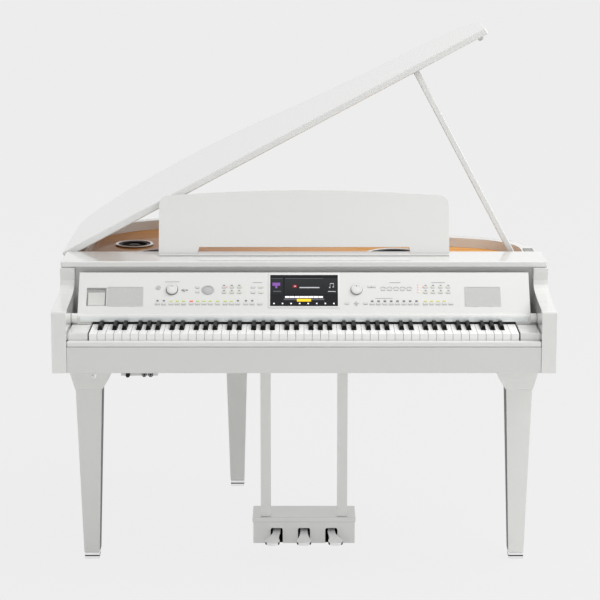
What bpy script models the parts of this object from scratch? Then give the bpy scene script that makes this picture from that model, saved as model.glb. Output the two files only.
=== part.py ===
"""A digital grand piano with its lid up, its key cover open and its music desk raised.

Metres, +Z up, the keyboard faces -Y. The case frame has its origin on the floor, at the middle
of the case's width and at the front of its arms; an empty carries it to the part's own origin.
"""
import math

import bmesh
import bpy
from mathutils import Matrix, Vector

# Clearances
GAP = 0.0003            # between pieces that touch
RUN = 0.002             # round pieces that move beside fixed ones
NOTCH_RUN = 0.0008      # lid notch round a hinge barrel

# Case
CASE_WIDTH = 1.429
CASE_DEPTH = 1.237
SIDE_WALL = 0.0415      # arms and rim
CASE_BOTTOM = 0.660
FLOOR_THICK = 0.018
RIM_TOP = 0.902
ARM_HEIGHT = 0.178      # front face of an arm
RAIL_HEIGHT = 0.075
RAIL_THICK = 0.018
RAIL_SETBACK = 0.002
SLIP_HEIGHT = 0.0165
FASCIA_FRONT = 0.290
FASCIA_THICK = 0.015
BOARD_FRONT = 0.264
BOARD_REAR = 0.430
BOARD_TOP = 0.933
BOARD_THICK = 0.018
SOUNDBOARD_TOP = 0.872
SOUNDBOARD_THICK = 0.012

# Rim outline, from the right arm round the tail to the left arm
BENT_START = 0.640
SHOULDER_IN = 0.150     # from the case side
SHOULDER_BACK = 0.383   # in front of the tail
WAIST_IN = 0.610
WAIST_BACK = 0.195
TAIL_FROM_SPINE = 0.380
CORNER_IN = 0.070
CORNER_BACK = 0.130
SPINE_END = 0.920

# Lid, its hinges and its prop
LID_THICK = 0.020
LID_EDGE = 0.003        # bevel along its edges
LID_OPEN = math.radians(28.16)
LID_OVERHANG = 0.005    # past the hinge line
LID_FRONT_GAP = 0.003   # behind the top board
LID_UNDERSIDE = 0.912
HINGE_RADIUS = 0.0035
HINGE_LENGTH = 0.080
HINGE_FRONT = 0.520
HINGE_REAR = 0.860
PROP_WIDTH = 0.018
PROP_Y = 0.468
PROP_IN = 0.033         # pivot from the rim's inner side
PROP_PIVOT_Z = 0.900
PROP_PIN_RADIUS = 0.003

# Keyboard
WHITE_KEYS = 52
KEY_CHEEK = 0.062       # block beside the outermost key
KEY_SLOT = 0.001        # between white keys
KEY_FRONT = 0.022
KEY_TOP = 0.7695
KEY_HEIGHT = 0.0205
BLACK_FRONT = 0.073
BLACK_REAR = 0.149
BLACK_WIDTH = 0.0137     # at its foot
BLACK_TOP_WIDTH = 0.0100
BLACK_RISE = 0.0115
BLACK_SIDE_GAP = 0.0007
BLACK_END_GAP = 0.0018
# Black keys stand a little off the joint between their white ones: A, C, D, F and G.
BLACK_SHIFT = {0: 0.0033, 2: -0.0022, 3: 0.0022, 5: -0.0033, 6: 0.0}
END_SLIT = 0.0030        # between the outermost keys and the blocks
BLACK_SLOPE = 0.005     # lean of the front end
KEY_PIVOT_Y = 0.255
KEY_PIN_RADIUS = 0.003
TAIL_PAST_PIVOT = 0.007
BAR_DEPTH = 0.010       # joins the keys of one group
BLACK_BAR_LIFT = 0.0025
BLACK_BAR_THICK = 0.006
SINGLE_START = 23       # first of the white keys that stand alone, with the black ones between
SINGLE_WHITES = 5

# Key cover and its control panel
COVER_AXIS_Y = 0.152
COVER_AXIS_Z = 0.7875
KNUCKLE_RADIUS = 0.015
KNUCKLE_LENGTH = 0.015
COVER_SIDE_GAP = 0.001
COVER_PIN_RADIUS = 0.004
COVER_PIN_REACH = 0.012 # into each arm
PANEL_FOOT_Y = 0.168
PANEL_FOOT_Z = 0.798
PANEL_LENGTH = 0.134
PANEL_LEAN = math.radians(37.7)
PANEL_THICK = 0.012
LIP_FRONT = 0.151
LIP_BOTTOM = 0.774
LIP_DEPTH = 0.012
SCREEN_WIDTH = 0.199
SCREEN_HEIGHT = 0.102
SCREEN_UP = 0.0735      # middle of the screen above the panel's foot
POCKET_DEPTH = 0.003
INSET_PROUD = 0.0006
GRILLE_WIDTH = 0.101
GRILLE_HEIGHT = 0.059
GRILLE_IN = 0.1525      # middle of a grille from the arm
GRILLE_UP = 0.0545
BAY_WIDTH = 0.057
BAY_HEIGHT = 0.059
BAY_IN = 0.0685         # middle of the bay from the arm
BAY_UP = 0.0535
BAY_DEPTH = 0.008
VOLUME_IN = 0.288       # from the left arm
DIAL_OUT = 0.1534
KNOB_UP = 0.0765
KNOB_RADIUS = 0.0145
KNOB_HEIGHT = 0.007
POWER_IN = 0.248        # from the left arm
POWER_UP = 0.083
POWER_RADIUS = 0.0065
POWER_PROUD = 0.0015
BUTTON_TRAVEL_ROOM = 0.0012

# Music desk and its struts
DESK_WIDTH = 0.866
DESK_SIDE_HEIGHT = 0.175
DESK_CROWN = 0.015
DESK_THICK = 0.015
DESK_LEAN = math.radians(16.0)
DESK_FOOT_Y = 0.382
DESK_CORNER = 0.028
DESK_GAP_WIDTH = 0.625  # cut-out between the feet
DESK_GAP_HEIGHT = 0.0195
DESK_GAP_SLANT = 0.006
STRUT_RADIUS = 0.002
STRUT_LENGTH = 0.100
STRUT_LEAN = math.radians(1.6)
STRUT_FOOT_Y = 0.4108
STRUT_OUT = 0.378
STRUT_FOOT_LENGTH = 0.024

# Speakers in the soundboard
SPEAKER_RADIUS = 0.085
TAIL_SPEAKER_RADIUS = 0.052
LEFT_SPEAKER_IN = 0.2745    # from the left side
LEFT_SPEAKER_BACK = 0.547   # in front of the tail
RIGHT_SPEAKER_IN = 0.4305   # from the right side
RIGHT_SPEAKER_BACK = 0.537
TAIL_SPEAKER_IN = 0.1695    # from the left side
TAIL_SPEAKER_BACK = 0.361
SPEAKER_RING = 0.009
SPEAKER_PROUD = 0.003
SPEAKER_DEPTH = 0.045

# Legs
LEG_IN = 0.071          # middle of a leg from the case side
LEG_FRONT = 0.332
REAR_LEG_X = -0.225
REAR_LEG_IN = 0.136     # in front of the tail
LEG_FOOT_WIDTH = 0.047
LEG_TOP_WIDTH = 0.078
REAR_LEG_TOP_WIDTH = 0.076
LEG_KNEE_Z = 0.533
# The leg's head: its rise above the knee, and how far it flares outwards, inwards and along.
LEG_HEAD = (
    (0.002, 0.0016, 0.0023, 0.004),
    (0.038, 0.0094, 0.0234, 0.019),
    (0.080, 0.0200, 0.0410, 0.030),
)
LEG_HEAD_TOP = (0.0235, 0.0530, 0.034)
FOOT_HEIGHT = 0.021

# Pedal unit
POST_OUT = 0.115
POST_WIDTH = 0.0305
POST_FRONT = 0.320
PLATE_WIDTH = 0.311
PLATE_FRONT = 0.310
PLATE_REAR = 0.430
PLATE_TOP = 0.138
PLATE_THICK = 0.0147
PEDAL_BOX_INSET = 0.0025
PEDAL_BOX_BOTTOM = 0.057
PEDAL_BOX_WALL = 0.004
PEDAL_PITCH = 0.0825
SLOT_WIDTH = 0.037
SLOT_TOP = 0.105
PEDAL_AXIS_Y = 0.405
PEDAL_AXIS_Z = 0.102
PEDAL_SHAFT_RADIUS = 0.004
PEDAL_REACH = 0.173
PEDAL_THICK = 0.008
PEDAL_NECK = 0.022
PEDAL_TIP = 0.044
PEDAL_SLOPE = math.radians(8.0)
PEDAL_SPLAY = 0.012

# Below the keyboard
JACK_BOX_IN = 0.243     # middle of the box from the left side
JACK_BOX_WIDTH = 0.105
JACK_BOX_DEPTH = 0.110
JACK_BOX_HEIGHT = 0.021
JACK_BOX_FRONT = 0.060
JACK_COLLAR = 0.0062
JACK_PLACES = (0.014, 0.0325)
JACK_BORE = 0.0028
JACK_LIFT = 0.0035       # middle of the jacks above the box's underside
INPUT_KNOB_PLACE = -0.0325
INPUT_KNOB_RADIUS = 0.0065
INPUT_KNOB_LENGTH = 0.014
HOOK_IN = 0.1115        # from the left side
HOOK_FRONT = 0.045
HOOK_WIRE = 0.0025

# Inside the case
FRAME_PLATE = 0.006
FRAME_FRONT = 0.045
FRAME_RIB = 0.008
CIRCUIT_WIDTH = 0.320
CIRCUIT_DEPTH = 0.160
CIRCUIT_THICK = 0.002
CIRCUIT_X = -0.100
CIRCUIT_Y = 0.480
CIRCUIT_STAND = 0.010

HALF = CASE_WIDTH / 2
INNER = HALF - SIDE_WALL
BOARD_UNDER = BOARD_TOP - BOARD_THICK
FLOOR_TOP = CASE_BOTTOM + FLOOR_THICK
KEY_UNDER = KEY_TOP - KEY_HEIGHT
KEY_PIVOT_Z = KEY_UNDER - GAP - KEY_PIN_RADIUS
KEYS_HALF = INNER - KEY_CHEEK
KEY_PITCH = 2 * KEYS_HALF / WHITE_KEYS
HINGE_PLACES = (HINGE_FRONT, HINGE_REAR)
PROP_PIVOT_X = INNER - PROP_IN
GRILLE_OUT = INNER - GRILLE_IN
BAY_OUT = INNER - BAY_IN
VOLUME_OUT = VOLUME_IN - INNER
POWER_OUT = POWER_IN - INNER
LEG_OUT = HALF - LEG_IN
REAR_LEG_FRONT = CASE_DEPTH - REAR_LEG_IN
JACK_BOX_X = JACK_BOX_IN - HALF
HOOK_X = HOOK_IN - HALF
SPEAKERS = {
    "speaker_tail": (TAIL_SPEAKER_IN - HALF, CASE_DEPTH - TAIL_SPEAKER_BACK, TAIL_SPEAKER_RADIUS),
    "speaker_left": (LEFT_SPEAKER_IN - HALF, CASE_DEPTH - LEFT_SPEAKER_BACK, SPEAKER_RADIUS),
    "speaker_right": (HALF - RIGHT_SPEAKER_IN, CASE_DEPTH - RIGHT_SPEAKER_BACK, SPEAKER_RADIUS),
}
FASCIA_REAR = FASCIA_FRONT + FASCIA_THICK
LID_FRONT = BOARD_REAR + LID_FRONT_GAP

PARTS = None
CUTTERS = None
CASE = None


def clear_scene():
    """Removes what a new Blender file holds."""
    for thing in list(bpy.data.objects):
        bpy.data.objects.remove(thing, do_unlink=True)


def new_collection(name):
    """Makes a collection under the scene's own."""
    made = bpy.data.collections.new(name)
    bpy.context.scene.collection.children.link(made)
    return made


def finish(name, colour, roughness, metallic=0.0):
    """A plain surface for one piece."""
    material = bpy.data.materials.new(name + "_finish")
    material.use_nodes = True
    shader = material.node_tree.nodes["Principled BSDF"]
    shader.inputs["Base Color"].default_value = (*colour, 1.0)
    shader.inputs["Roughness"].default_value = roughness
    shader.inputs["Metallic"].default_value = metallic
    material.diffuse_color = (*colour, 1.0)
    return material


LACQUER = ((0.80, 0.80, 0.78), 0.15, 0.0)
SHADED_LACQUER = ((0.66, 0.66, 0.64), 0.25, 0.0)
IVORY = ((0.93, 0.93, 0.91), 0.25, 0.0)
EBONY = ((0.012, 0.012, 0.012), 0.35, 0.0)
CHROME = ((0.80, 0.80, 0.80), 0.08, 1.0)
STEEL = ((0.45, 0.45, 0.45), 0.35, 1.0)
WOOD = ((0.52, 0.23, 0.08), 0.40, 0.0)
GREY_PLASTIC = ((0.42, 0.42, 0.41), 0.55, 0.0)
DARK_PLASTIC = ((0.03, 0.03, 0.035), 0.45, 0.0)
GLASS = ((0.02, 0.02, 0.025), 0.08, 0.0)
GREEN_BOARD = ((0.04, 0.20, 0.09), 0.50, 0.0)


def empty(name, parent, location, rotation=(0.0, 0.0, 0.0)):
    """An empty that carries pieces which share an axis."""
    made = bpy.data.objects.new(name, None)
    made.empty_display_size = 0.05
    PARTS.objects.link(made)
    made.parent = parent
    made.location = location
    made.rotation_euler = rotation
    return made


def piece(name, bm, look, parent=None, location=(0.0, 0.0, 0.0), rotation=(0.0, 0.0, 0.0)):
    """Turns a bmesh into a named piece of the piano with its own finish."""
    mesh = bpy.data.meshes.new(name)
    bm.to_mesh(mesh)
    bm.free()
    mesh.shade_smooth()
    mesh.set_sharp_from_angle(angle=math.radians(32))
    made = bpy.data.objects.new(name, mesh)
    mesh.materials.append(finish(name, *look))
    PARTS.objects.link(made)
    made.parent = parent or CASE
    made.location = location
    made.rotation_euler = rotation
    return made


def reshape(target, bm, operation="DIFFERENCE"):
    """Cuts a shape from a piece, or joins it on; the shape shares the piece's own axes."""
    name = f"{target.name}_{operation.lower()}_{len(target.modifiers)}"
    mesh = bpy.data.meshes.new(name)
    bm.to_mesh(mesh)
    bm.free()
    tool = bpy.data.objects.new(name, mesh)
    CUTTERS.objects.link(tool)
    tool.parent = target.parent
    tool.location = target.location
    tool.rotation_euler = target.rotation_euler
    tool.hide_render = True
    tool.display_type = "WIRE"
    modifier = target.modifiers.new(name, "BOOLEAN")
    modifier.operation = operation
    modifier.solver = "EXACT"
    modifier.object = tool


def soften(target, width, segments=2):
    """Rounds the sharp edges of a piece."""
    modifier = target.modifiers.new("softened_edges", "BEVEL")
    modifier.width = width
    modifier.segments = segments
    modifier.limit_method = "ANGLE"
    modifier.angle_limit = math.radians(50)


def box(low, high, bm=None):
    """A box between two corners, in a new bmesh or added to one."""
    bm = bm or bmesh.new()
    low, high = Vector(low), Vector(high)
    place = Matrix.Translation((low + high) / 2) @ Matrix.Diagonal((*(high - low), 1.0))
    bmesh.ops.create_cube(bm, size=1.0, matrix=place)
    return bm


def rod(start, end, radius, end_radius=None, sides=20, bm=None):
    """A round bar or cone between two points."""
    bm = bm or bmesh.new()
    start, end = Vector(start), Vector(end)
    run = end - start
    place = Matrix.Translation((start + end) / 2) @ run.to_track_quat("Z", "Y").to_matrix().to_4x4()
    bmesh.ops.create_cone(bm, cap_ends=True, segments=sides, radius1=radius,
                          radius2=radius if end_radius is None else end_radius,
                          depth=run.length, matrix=place)
    return bm


PLANES = {
    "XY": Matrix(((1, 0, 0), (0, 1, 0), (0, 0, 1))).to_4x4(),
    "YZ": Matrix(((0, 0, 1), (1, 0, 0), (0, 1, 0))).to_4x4(),
    "XZ": Matrix(((1, 0, 0), (0, 0, -1), (0, 1, 0))).to_4x4(),
}


def slab(points, low, high, plane="XY"):
    """A flat outline drawn in a plane, thickened from low to high along the third axis."""
    curve = bpy.data.curves.new("outline", "CURVE")
    curve.dimensions = "2D"
    curve.fill_mode = "BOTH"
    curve.extrude = (high - low) / 2
    spline = curve.splines.new("POLY")
    spline.points.add(len(points) - 1)
    for spot, point in zip(spline.points, points):
        spot.co = (point[0], point[1], 0.0, 1.0)
    spline.use_cyclic_u = True
    holder = bpy.data.objects.new("outline", curve)
    bpy.context.scene.collection.objects.link(holder)
    evaluated = holder.evaluated_get(bpy.context.evaluated_depsgraph_get())
    mesh = bpy.data.meshes.new_from_object(evaluated)
    bpy.data.objects.remove(holder, do_unlink=True)
    bpy.data.curves.remove(curve)
    bm = bmesh.new()
    bm.from_mesh(mesh)
    bpy.data.meshes.remove(mesh)
    bmesh.ops.remove_doubles(bm, verts=bm.verts, dist=0.00002)
    middle = (low + high) / 2
    if plane == "XZ":
        middle = -middle
    bmesh.ops.translate(bm, verts=bm.verts, vec=(0.0, 0.0, middle))
    bmesh.ops.transform(bm, matrix=PLANES[plane], verts=bm.verts)
    bmesh.ops.recalc_face_normals(bm, faces=bm.faces)
    return bm


def bow(start, start_way, end, end_way, steps, pull=0.36):
    """Points of a smooth bow that leaves start and reaches end along the given ways."""
    start, end = Vector(start), Vector(end)
    reach = (end - start).length * pull
    first = start + Vector(start_way).normalized() * reach
    second = end - Vector(end_way).normalized() * reach
    points = []
    for step in range(1, steps + 1):
        t = step / steps
        s = 1 - t
        points.append(start * s ** 3 + first * 3 * s * s * t + second * 3 * s * t * t + end * t ** 3)
    return points


def rounded_corner(corner, way_in, way_out, radius, steps=4):
    """Points of a quarter round at a corner between two square ways."""
    corner, way_in, way_out = Vector(corner), Vector(way_in), Vector(way_out)
    centre = corner - way_in * radius + way_out * radius
    return [centre + way_in * radius * math.sin(math.pi / 2 * step / steps)
            - way_out * radius * math.cos(math.pi / 2 * step / steps) for step in range(steps + 1)]


def plan_points(front):
    """The case's outline seen from above, from the right side round the tail to the left side."""
    side, tail = HALF, CASE_DEPTH
    points = [Vector((side, front)), Vector((side, BENT_START))]
    marks = [
        ((side, BENT_START), (0, 1)),
        ((side - SHOULDER_IN, tail - SHOULDER_BACK), (-1, 0.36)),
        ((side - WAIST_IN, tail - WAIST_BACK), (-1, 0.66)),
        ((TAIL_FROM_SPINE - side, tail), (-1, 0)),
        ((CORNER_IN - side, tail - CORNER_BACK), (-0.62, -0.78)),
        ((-side, SPINE_END), (0, -1)),
    ]
    for (start, start_way), (end, end_way) in zip(marks, marks[1:]):
        points += bow(start, start_way, end, end_way, 7)
    points.append(Vector((-side, front)))
    return points


def inset(points, amount):
    """Moves an open outline inwards; its ends keep their place along Y."""
    moved = []
    for index, point in enumerate(points):
        before = points[max(index - 1, 0)]
        after = points[min(index + 1, len(points) - 1)]
        first = (point - before).normalized() if index else (after - point).normalized()
        second = (after - point).normalized() if index < len(points) - 1 else first
        inward = (Vector((-first.y, first.x)) + Vector((-second.y, second.x))).normalized()
        moved.append(point + inward * amount / max(inward.dot(Vector((-first.y, first.x))), 0.5))
    return moved


def build_case():
    """Arms, rim, bottom board, front rail, key slip, fascia and top board."""
    top = BOARD_UNDER - GAP
    arm_top = CASE_BOTTOM + ARM_HEIGHT
    profile = [Vector((BOARD_REAR, CASE_BOTTOM)), Vector((BOARD_REAR, top))]
    profile += [Vector((BOARD_FRONT - 0.016, top))]
    profile += bow(profile[-1], (0, -1), (BOARD_FRONT - 0.012, arm_top + 0.042), (0.05, -1), 3)
    profile += bow(profile[-1], (0, -1), (BOARD_FRONT - 0.075, arm_top + 0.012), (-1, -0.12), 5)
    profile += bow(profile[-1], (-1, -0.12), (0.008, arm_top), (-1, -0.04), 3)
    profile += rounded_corner((0.0, arm_top), (-1, 0), (0, -1), 0.006)
    profile.append(Vector((0.0, CASE_BOTTOM)))
    for side, low in (("left", -HALF), ("right", INNER)):
        arm = piece(f"arm_{side}", slab(profile, low, low + SIDE_WALL, "YZ"), LACQUER)
        soften(arm, 0.002, 1)
        sign = -1 if side == "left" else 1
        reshape(arm, rod((sign * (INNER - 0.01), COVER_AXIS_Y, COVER_AXIS_Z),
                         (sign * (INNER + COVER_PIN_REACH), COVER_AXIS_Y, COVER_AXIS_Z),
                         COVER_PIN_RADIUS + GAP, sides=16))

    rim_front = BOARD_REAR + GAP
    outside = plan_points(rim_front)
    rim = outside + list(reversed(inset(outside, SIDE_WALL)))
    piece("rim", slab(rim, CASE_BOTTOM, RIM_TOP), LACQUER)

    floor_front = RAIL_SETBACK + RAIL_THICK + GAP
    floor = inset(plan_points(floor_front), SIDE_WALL + GAP)
    piece("case_bottom", slab(floor, CASE_BOTTOM, FLOOR_TOP), SHADED_LACQUER)

    reach = INNER - GAP
    rail_top = CASE_BOTTOM + RAIL_HEIGHT
    rail = piece("front_rail", box((-reach, RAIL_SETBACK, CASE_BOTTOM),
                                   (reach, RAIL_SETBACK + RAIL_THICK, rail_top)), SHADED_LACQUER)
    soften(rail, 0.001, 1)
    slip = piece("key_slip", box((-reach, RAIL_SETBACK, rail_top + GAP),
                                 (reach, RAIL_SETBACK + RAIL_THICK, rail_top + GAP + SLIP_HEIGHT)),
                 LACQUER)
    soften(slip, 0.004, 2)
    piece("fascia_board", box((-reach, FASCIA_FRONT, FLOOR_TOP + GAP),
                              (reach, FASCIA_REAR, BOARD_UNDER - GAP)), LACQUER)
    board = piece("top_board", box((-HALF, BOARD_FRONT, BOARD_UNDER),
                                   (HALF, BOARD_REAR, BOARD_TOP)), LACQUER)
    soften(board, 0.004, 3)


def build_soundboard():
    """The wooden deck inside the rim, with its speakers."""
    under = SOUNDBOARD_TOP - SOUNDBOARD_THICK
    deck = inset(plan_points(FASCIA_REAR + GAP), SIDE_WALL + GAP)
    soundboard = piece("soundboard", slab(deck, under, SOUNDBOARD_TOP), WOOD)
    for name, (across, back, radius) in SPEAKERS.items():
        reshape(soundboard, rod((across, back, under - 0.01), (across, back, SOUNDBOARD_TOP + 0.01),
                                radius + GAP, sides=28))
        seat = SOUNDBOARD_TOP + GAP
        outer = radius + SPEAKER_RING
        profile = [(0.0, seat - 0.012), (radius * 0.30, seat - 0.010), (radius * 0.86, seat - 0.002),
                   (radius * 0.98, seat + SPEAKER_PROUD),
                   (outer, seat + SPEAKER_PROUD * 0.6), (outer, seat),
                   (radius, seat), (radius * 0.55, seat - SPEAKER_DEPTH), (0.0, seat - SPEAKER_DEPTH)]
        piece(name, turned(list(reversed(profile)), 28), DARK_PLASTIC, location=(across, back, 0.0))


def turned(profile, sides):
    """A solid turned about Z from a profile of radius and height that starts and ends on the axis."""
    bm = bmesh.new()
    rings = []
    for radius, height in profile:
        if radius == 0.0:
            rings.append([bm.verts.new((0.0, 0.0, height))])
            continue
        rings.append([bm.verts.new((radius * math.cos(2 * math.pi * k / sides),
                                    radius * math.sin(2 * math.pi * k / sides), height))
                      for k in range(sides)])
    for low, high in zip(rings, rings[1:]):
        for k in range(sides):
            n = (k + 1) % sides
            corners = [low[k % len(low)], low[n % len(low)], high[n % len(high)], high[k % len(high)]]
            bm.faces.new(list(dict.fromkeys(corners)))
    bmesh.ops.recalc_face_normals(bm, faces=bm.faces)
    return bm


def build_lid():
    """The lid on its hinges, with its bumper, and the prop that holds it up."""
    hinge = empty("lid_axis", CASE, (-HALF, 0.0, LID_UNDERSIDE), (0.0, -LID_OPEN, 0.0))
    outline = plan_points(LID_FRONT)
    flat = [Vector((point.x + HALF - (LID_OVERHANG if point.x <= -HALF + 0.0005 else 0.0), point.y))
            for point in outline]
    lid = piece("lid", slab(flat, 0.0, LID_THICK), LACQUER, parent=hinge)
    soften(lid, LID_EDGE, 1)
    notch = HINGE_RADIUS + NOTCH_RUN
    for place in HINGE_PLACES:
        reach = HINGE_LENGTH / 2 + NOTCH_RUN
        reshape(lid, box((-LID_OVERHANG - 0.01, place - reach, -0.01), (notch, place + reach, notch)))

    tops = (LID_UNDERSIDE - RIM_TOP - GAP)
    for index, place in enumerate(HINGE_PLACES, 1):
        low, high = place - HINGE_LENGTH / 2, place + HINGE_LENGTH / 2
        leaf = box((0.0, low, -tops), (0.026, high, -tops + 0.0025))
        hinge_piece = piece(f"lid_hinge_{index}", leaf, CHROME, location=(-HALF, 0.0, LID_UNDERSIDE))
        reshape(hinge_piece, box((-0.0015, low, -tops + 0.001), (0.0015, high, 0.0)), "UNION")
        reshape(hinge_piece, rod((0.0, low, 0.0), (0.0, high, 0.0), HINGE_RADIUS, sides=12), "UNION")

    # The prop stands square to the open lid, so its pivot's place gives its length.
    span = Vector((PROP_PIVOT_X + HALF, 0.0, PROP_PIVOT_Z - LID_UNDERSIDE))
    drop = span.dot(Vector((math.sin(LID_OPEN), 0.0, -math.cos(LID_OPEN))))

    pivot = empty("prop_axis", CASE, (PROP_PIVOT_X, PROP_Y, PROP_PIVOT_Z), (0.0, -LID_OPEN, 0.0))
    half = PROP_WIDTH / 2
    length = drop - GAP
    prop = piece("lid_prop", box((-half, -half, -half), (half, half, length)), LACQUER, parent=pivot)
    soften(prop, 0.0025, 1)
    reshape(prop, rod((0.0, -half - 0.01, 0.0), (0.0, half + 0.01, 0.0), PROP_PIN_RADIUS + GAP, sides=16))

    # The bracket hangs the prop's pin from the rim's inner side.
    plate_y = PROP_Y + half + RUN
    plate = box((PROP_PIVOT_X - 0.012, plate_y, SOUNDBOARD_TOP + GAP),
                (INNER - GAP, plate_y + 0.008, PROP_PIVOT_Z + 0.008))
    bracket = piece("prop_bracket", plate, GREY_PLASTIC)
    pin = rod((PROP_PIVOT_X, plate_y + 0.004, PROP_PIVOT_Z),
              (PROP_PIVOT_X, PROP_Y - half - RUN, PROP_PIVOT_Z), PROP_PIN_RADIUS, sides=16)
    reshape(bracket, pin, "UNION")


def white_key_left(index):
    """The left edge of a white key's place on the keyboard."""
    return -KEYS_HALF + index * KEY_PITCH


def black_after(index):
    """Whether a black key stands between this white key and the next; the lowest key is an A."""
    return index < WHITE_KEYS - 1 and index % 7 not in (1, 4)


def black_middle(index):
    """The middle of the black key that stands after a white key."""
    return white_key_left(index) + KEY_PITCH + BLACK_SHIFT[index % 7]


def white_comb(first, last, bar):
    """The outline of neighbouring white keys, cut away for the black ones and joined by a bar."""
    rear = KEY_PIVOT_Y + TAIL_PAST_PIVOT
    slot = KEY_SLOT / 2
    notch = BLACK_WIDTH / 2 + BLACK_SIDE_GAP
    step = BLACK_FRONT - BLACK_END_GAP
    points = []
    for index in range(first, last + 1):
        left = white_key_left(index)
        right = left + KEY_PITCH
        left_in = right_in = slot
        if index and black_after(index - 1):
            left_in = notch + BLACK_SHIFT[(index - 1) % 7]
        if black_after(index):
            right_in = notch - BLACK_SHIFT[index % 7]
        points.append((left + left_in, rear))
        if left_in != slot:
            points += [(left + left_in, step), (left + slot, step)]
        points += [(left + slot, KEY_FRONT), (right - slot, KEY_FRONT)]
        if right_in != slot:
            points += [(right - slot, step), (right - right_in, step)]
        points.append((right - right_in, rear))
    if bar:
        points += [(points[-1][0], rear + BAR_DEPTH), (points[0][0], rear + BAR_DEPTH)]
    return points


def black_key_profile():
    """Side view of a black key: a raised head and a low tail that runs back to the pivot."""
    top = KEY_TOP + BLACK_RISE
    tail = KEY_TOP - GAP
    end = KEY_PIVOT_Y + TAIL_PAST_PIVOT - BLACK_END_GAP
    return [(end, KEY_UNDER), (end, tail), (BLACK_REAR, tail), (BLACK_REAR, top),
            (BLACK_FRONT + BLACK_SLOPE + 0.002, top), (BLACK_FRONT + BLACK_SLOPE, top - 0.002),
            (BLACK_FRONT, KEY_TOP - 0.002), (BLACK_FRONT, KEY_UNDER)]


def black_key(middle):
    """A black key about the given place across; its head narrows towards the top."""
    bm = slab(black_key_profile(), middle - BLACK_WIDTH / 2, middle + BLACK_WIDTH / 2, "YZ")
    front, rear = Vector((BLACK_FRONT, KEY_TOP - 0.002)), Vector((BLACK_REAR, KEY_TOP - GAP))
    for sign in (-1, 1):
        ends = [vert for vert in bm.verts if (vert.co.x - middle) * sign > 0
                and min((vert.co.yz - front).length, (vert.co.yz - rear).length) < 1e-6]
        bmesh.ops.connect_verts(bm, verts=ends)
    taper = (BLACK_WIDTH - BLACK_TOP_WIDTH) / 2 / BLACK_RISE
    for vert in bm.verts:
        foot = front.y + (vert.co.y - front.x) / (rear.x - front.x) * (rear.y - front.y)
        rise = vert.co.z - foot
        if rise > 1e-5 and vert.co.y < BLACK_REAR + 1e-6:
            vert.co.x -= math.copysign(taper * rise, vert.co.x - middle)
    return bm


def merged(bodies):
    """Puts several separate bmeshes into one."""
    whole = bmesh.new()
    for body in bodies:
        mesh = bpy.data.meshes.new("body")
        body.to_mesh(mesh)
        body.free()
        whole.from_mesh(mesh)
        bpy.data.meshes.remove(mesh)
    return whole


def to_pivot(bm):
    """Shifts keys drawn in the case frame to the frame of their pivot line."""
    bmesh.ops.translate(bm, verts=bm.verts, vec=(0.0, -KEY_PIVOT_Y, -KEY_PIVOT_Z))
    return bm


def build_keys():
    """Eighty-eight keys: a few single ones in the middle, the others in four joined groups."""
    axis = empty("key_axis", CASE, (0.0, KEY_PIVOT_Y, KEY_PIVOT_Z))
    single_end = SINGLE_START + SINGLE_WHITES - 1
    half = BLACK_WIDTH / 2
    bar_front = KEY_PIVOT_Y - BAR_DEPTH
    bar_low = KEY_TOP + BLACK_BAR_LIFT
    groups = {
        "bass": (0, SINGLE_START - 1, range(0, SINGLE_START)),
        "treble": (single_end + 1, WHITE_KEYS - 1, range(single_end, WHITE_KEYS)),
    }
    for name, (first, last, between) in groups.items():
        comb = slab(white_comb(first, last, True), KEY_UNDER, KEY_TOP)
        piece(f"white_keys_{name}", to_pivot(comb), IVORY, parent=axis)
        middles = [black_middle(index) for index in between if black_after(index)]
        bar = box((middles[0] - half, bar_front, bar_low),
                  (middles[-1] + half, KEY_PIVOT_Y, bar_low + BLACK_BAR_THICK))
        group = piece(f"black_keys_{name}", to_pivot(bar), EBONY, parent=axis)
        reshape(group, to_pivot(merged([black_key(middle) for middle in middles])), "UNION")
        posts = [box((middle - half + 0.001, bar_front + 0.001, KEY_TOP - 0.004),
                     (middle + half - 0.001, KEY_PIVOT_Y - 0.001, bar_low + 0.002)) for middle in middles]
        reshape(group, to_pivot(merged(posts)), "UNION")

    singles = range(SINGLE_START, single_end + 1)
    for number, index in enumerate(singles, 1):
        comb = slab(white_comb(index, index, False), KEY_UNDER, KEY_TOP)
        piece(f"white_key_{number}", to_pivot(comb), IVORY, parent=axis)
    middles = [black_middle(index) for index in singles[:-1] if black_after(index)]
    for number, middle in enumerate(middles, 1):
        piece(f"black_key_{number}", to_pivot(black_key(middle)), EBONY, parent=axis)


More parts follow.
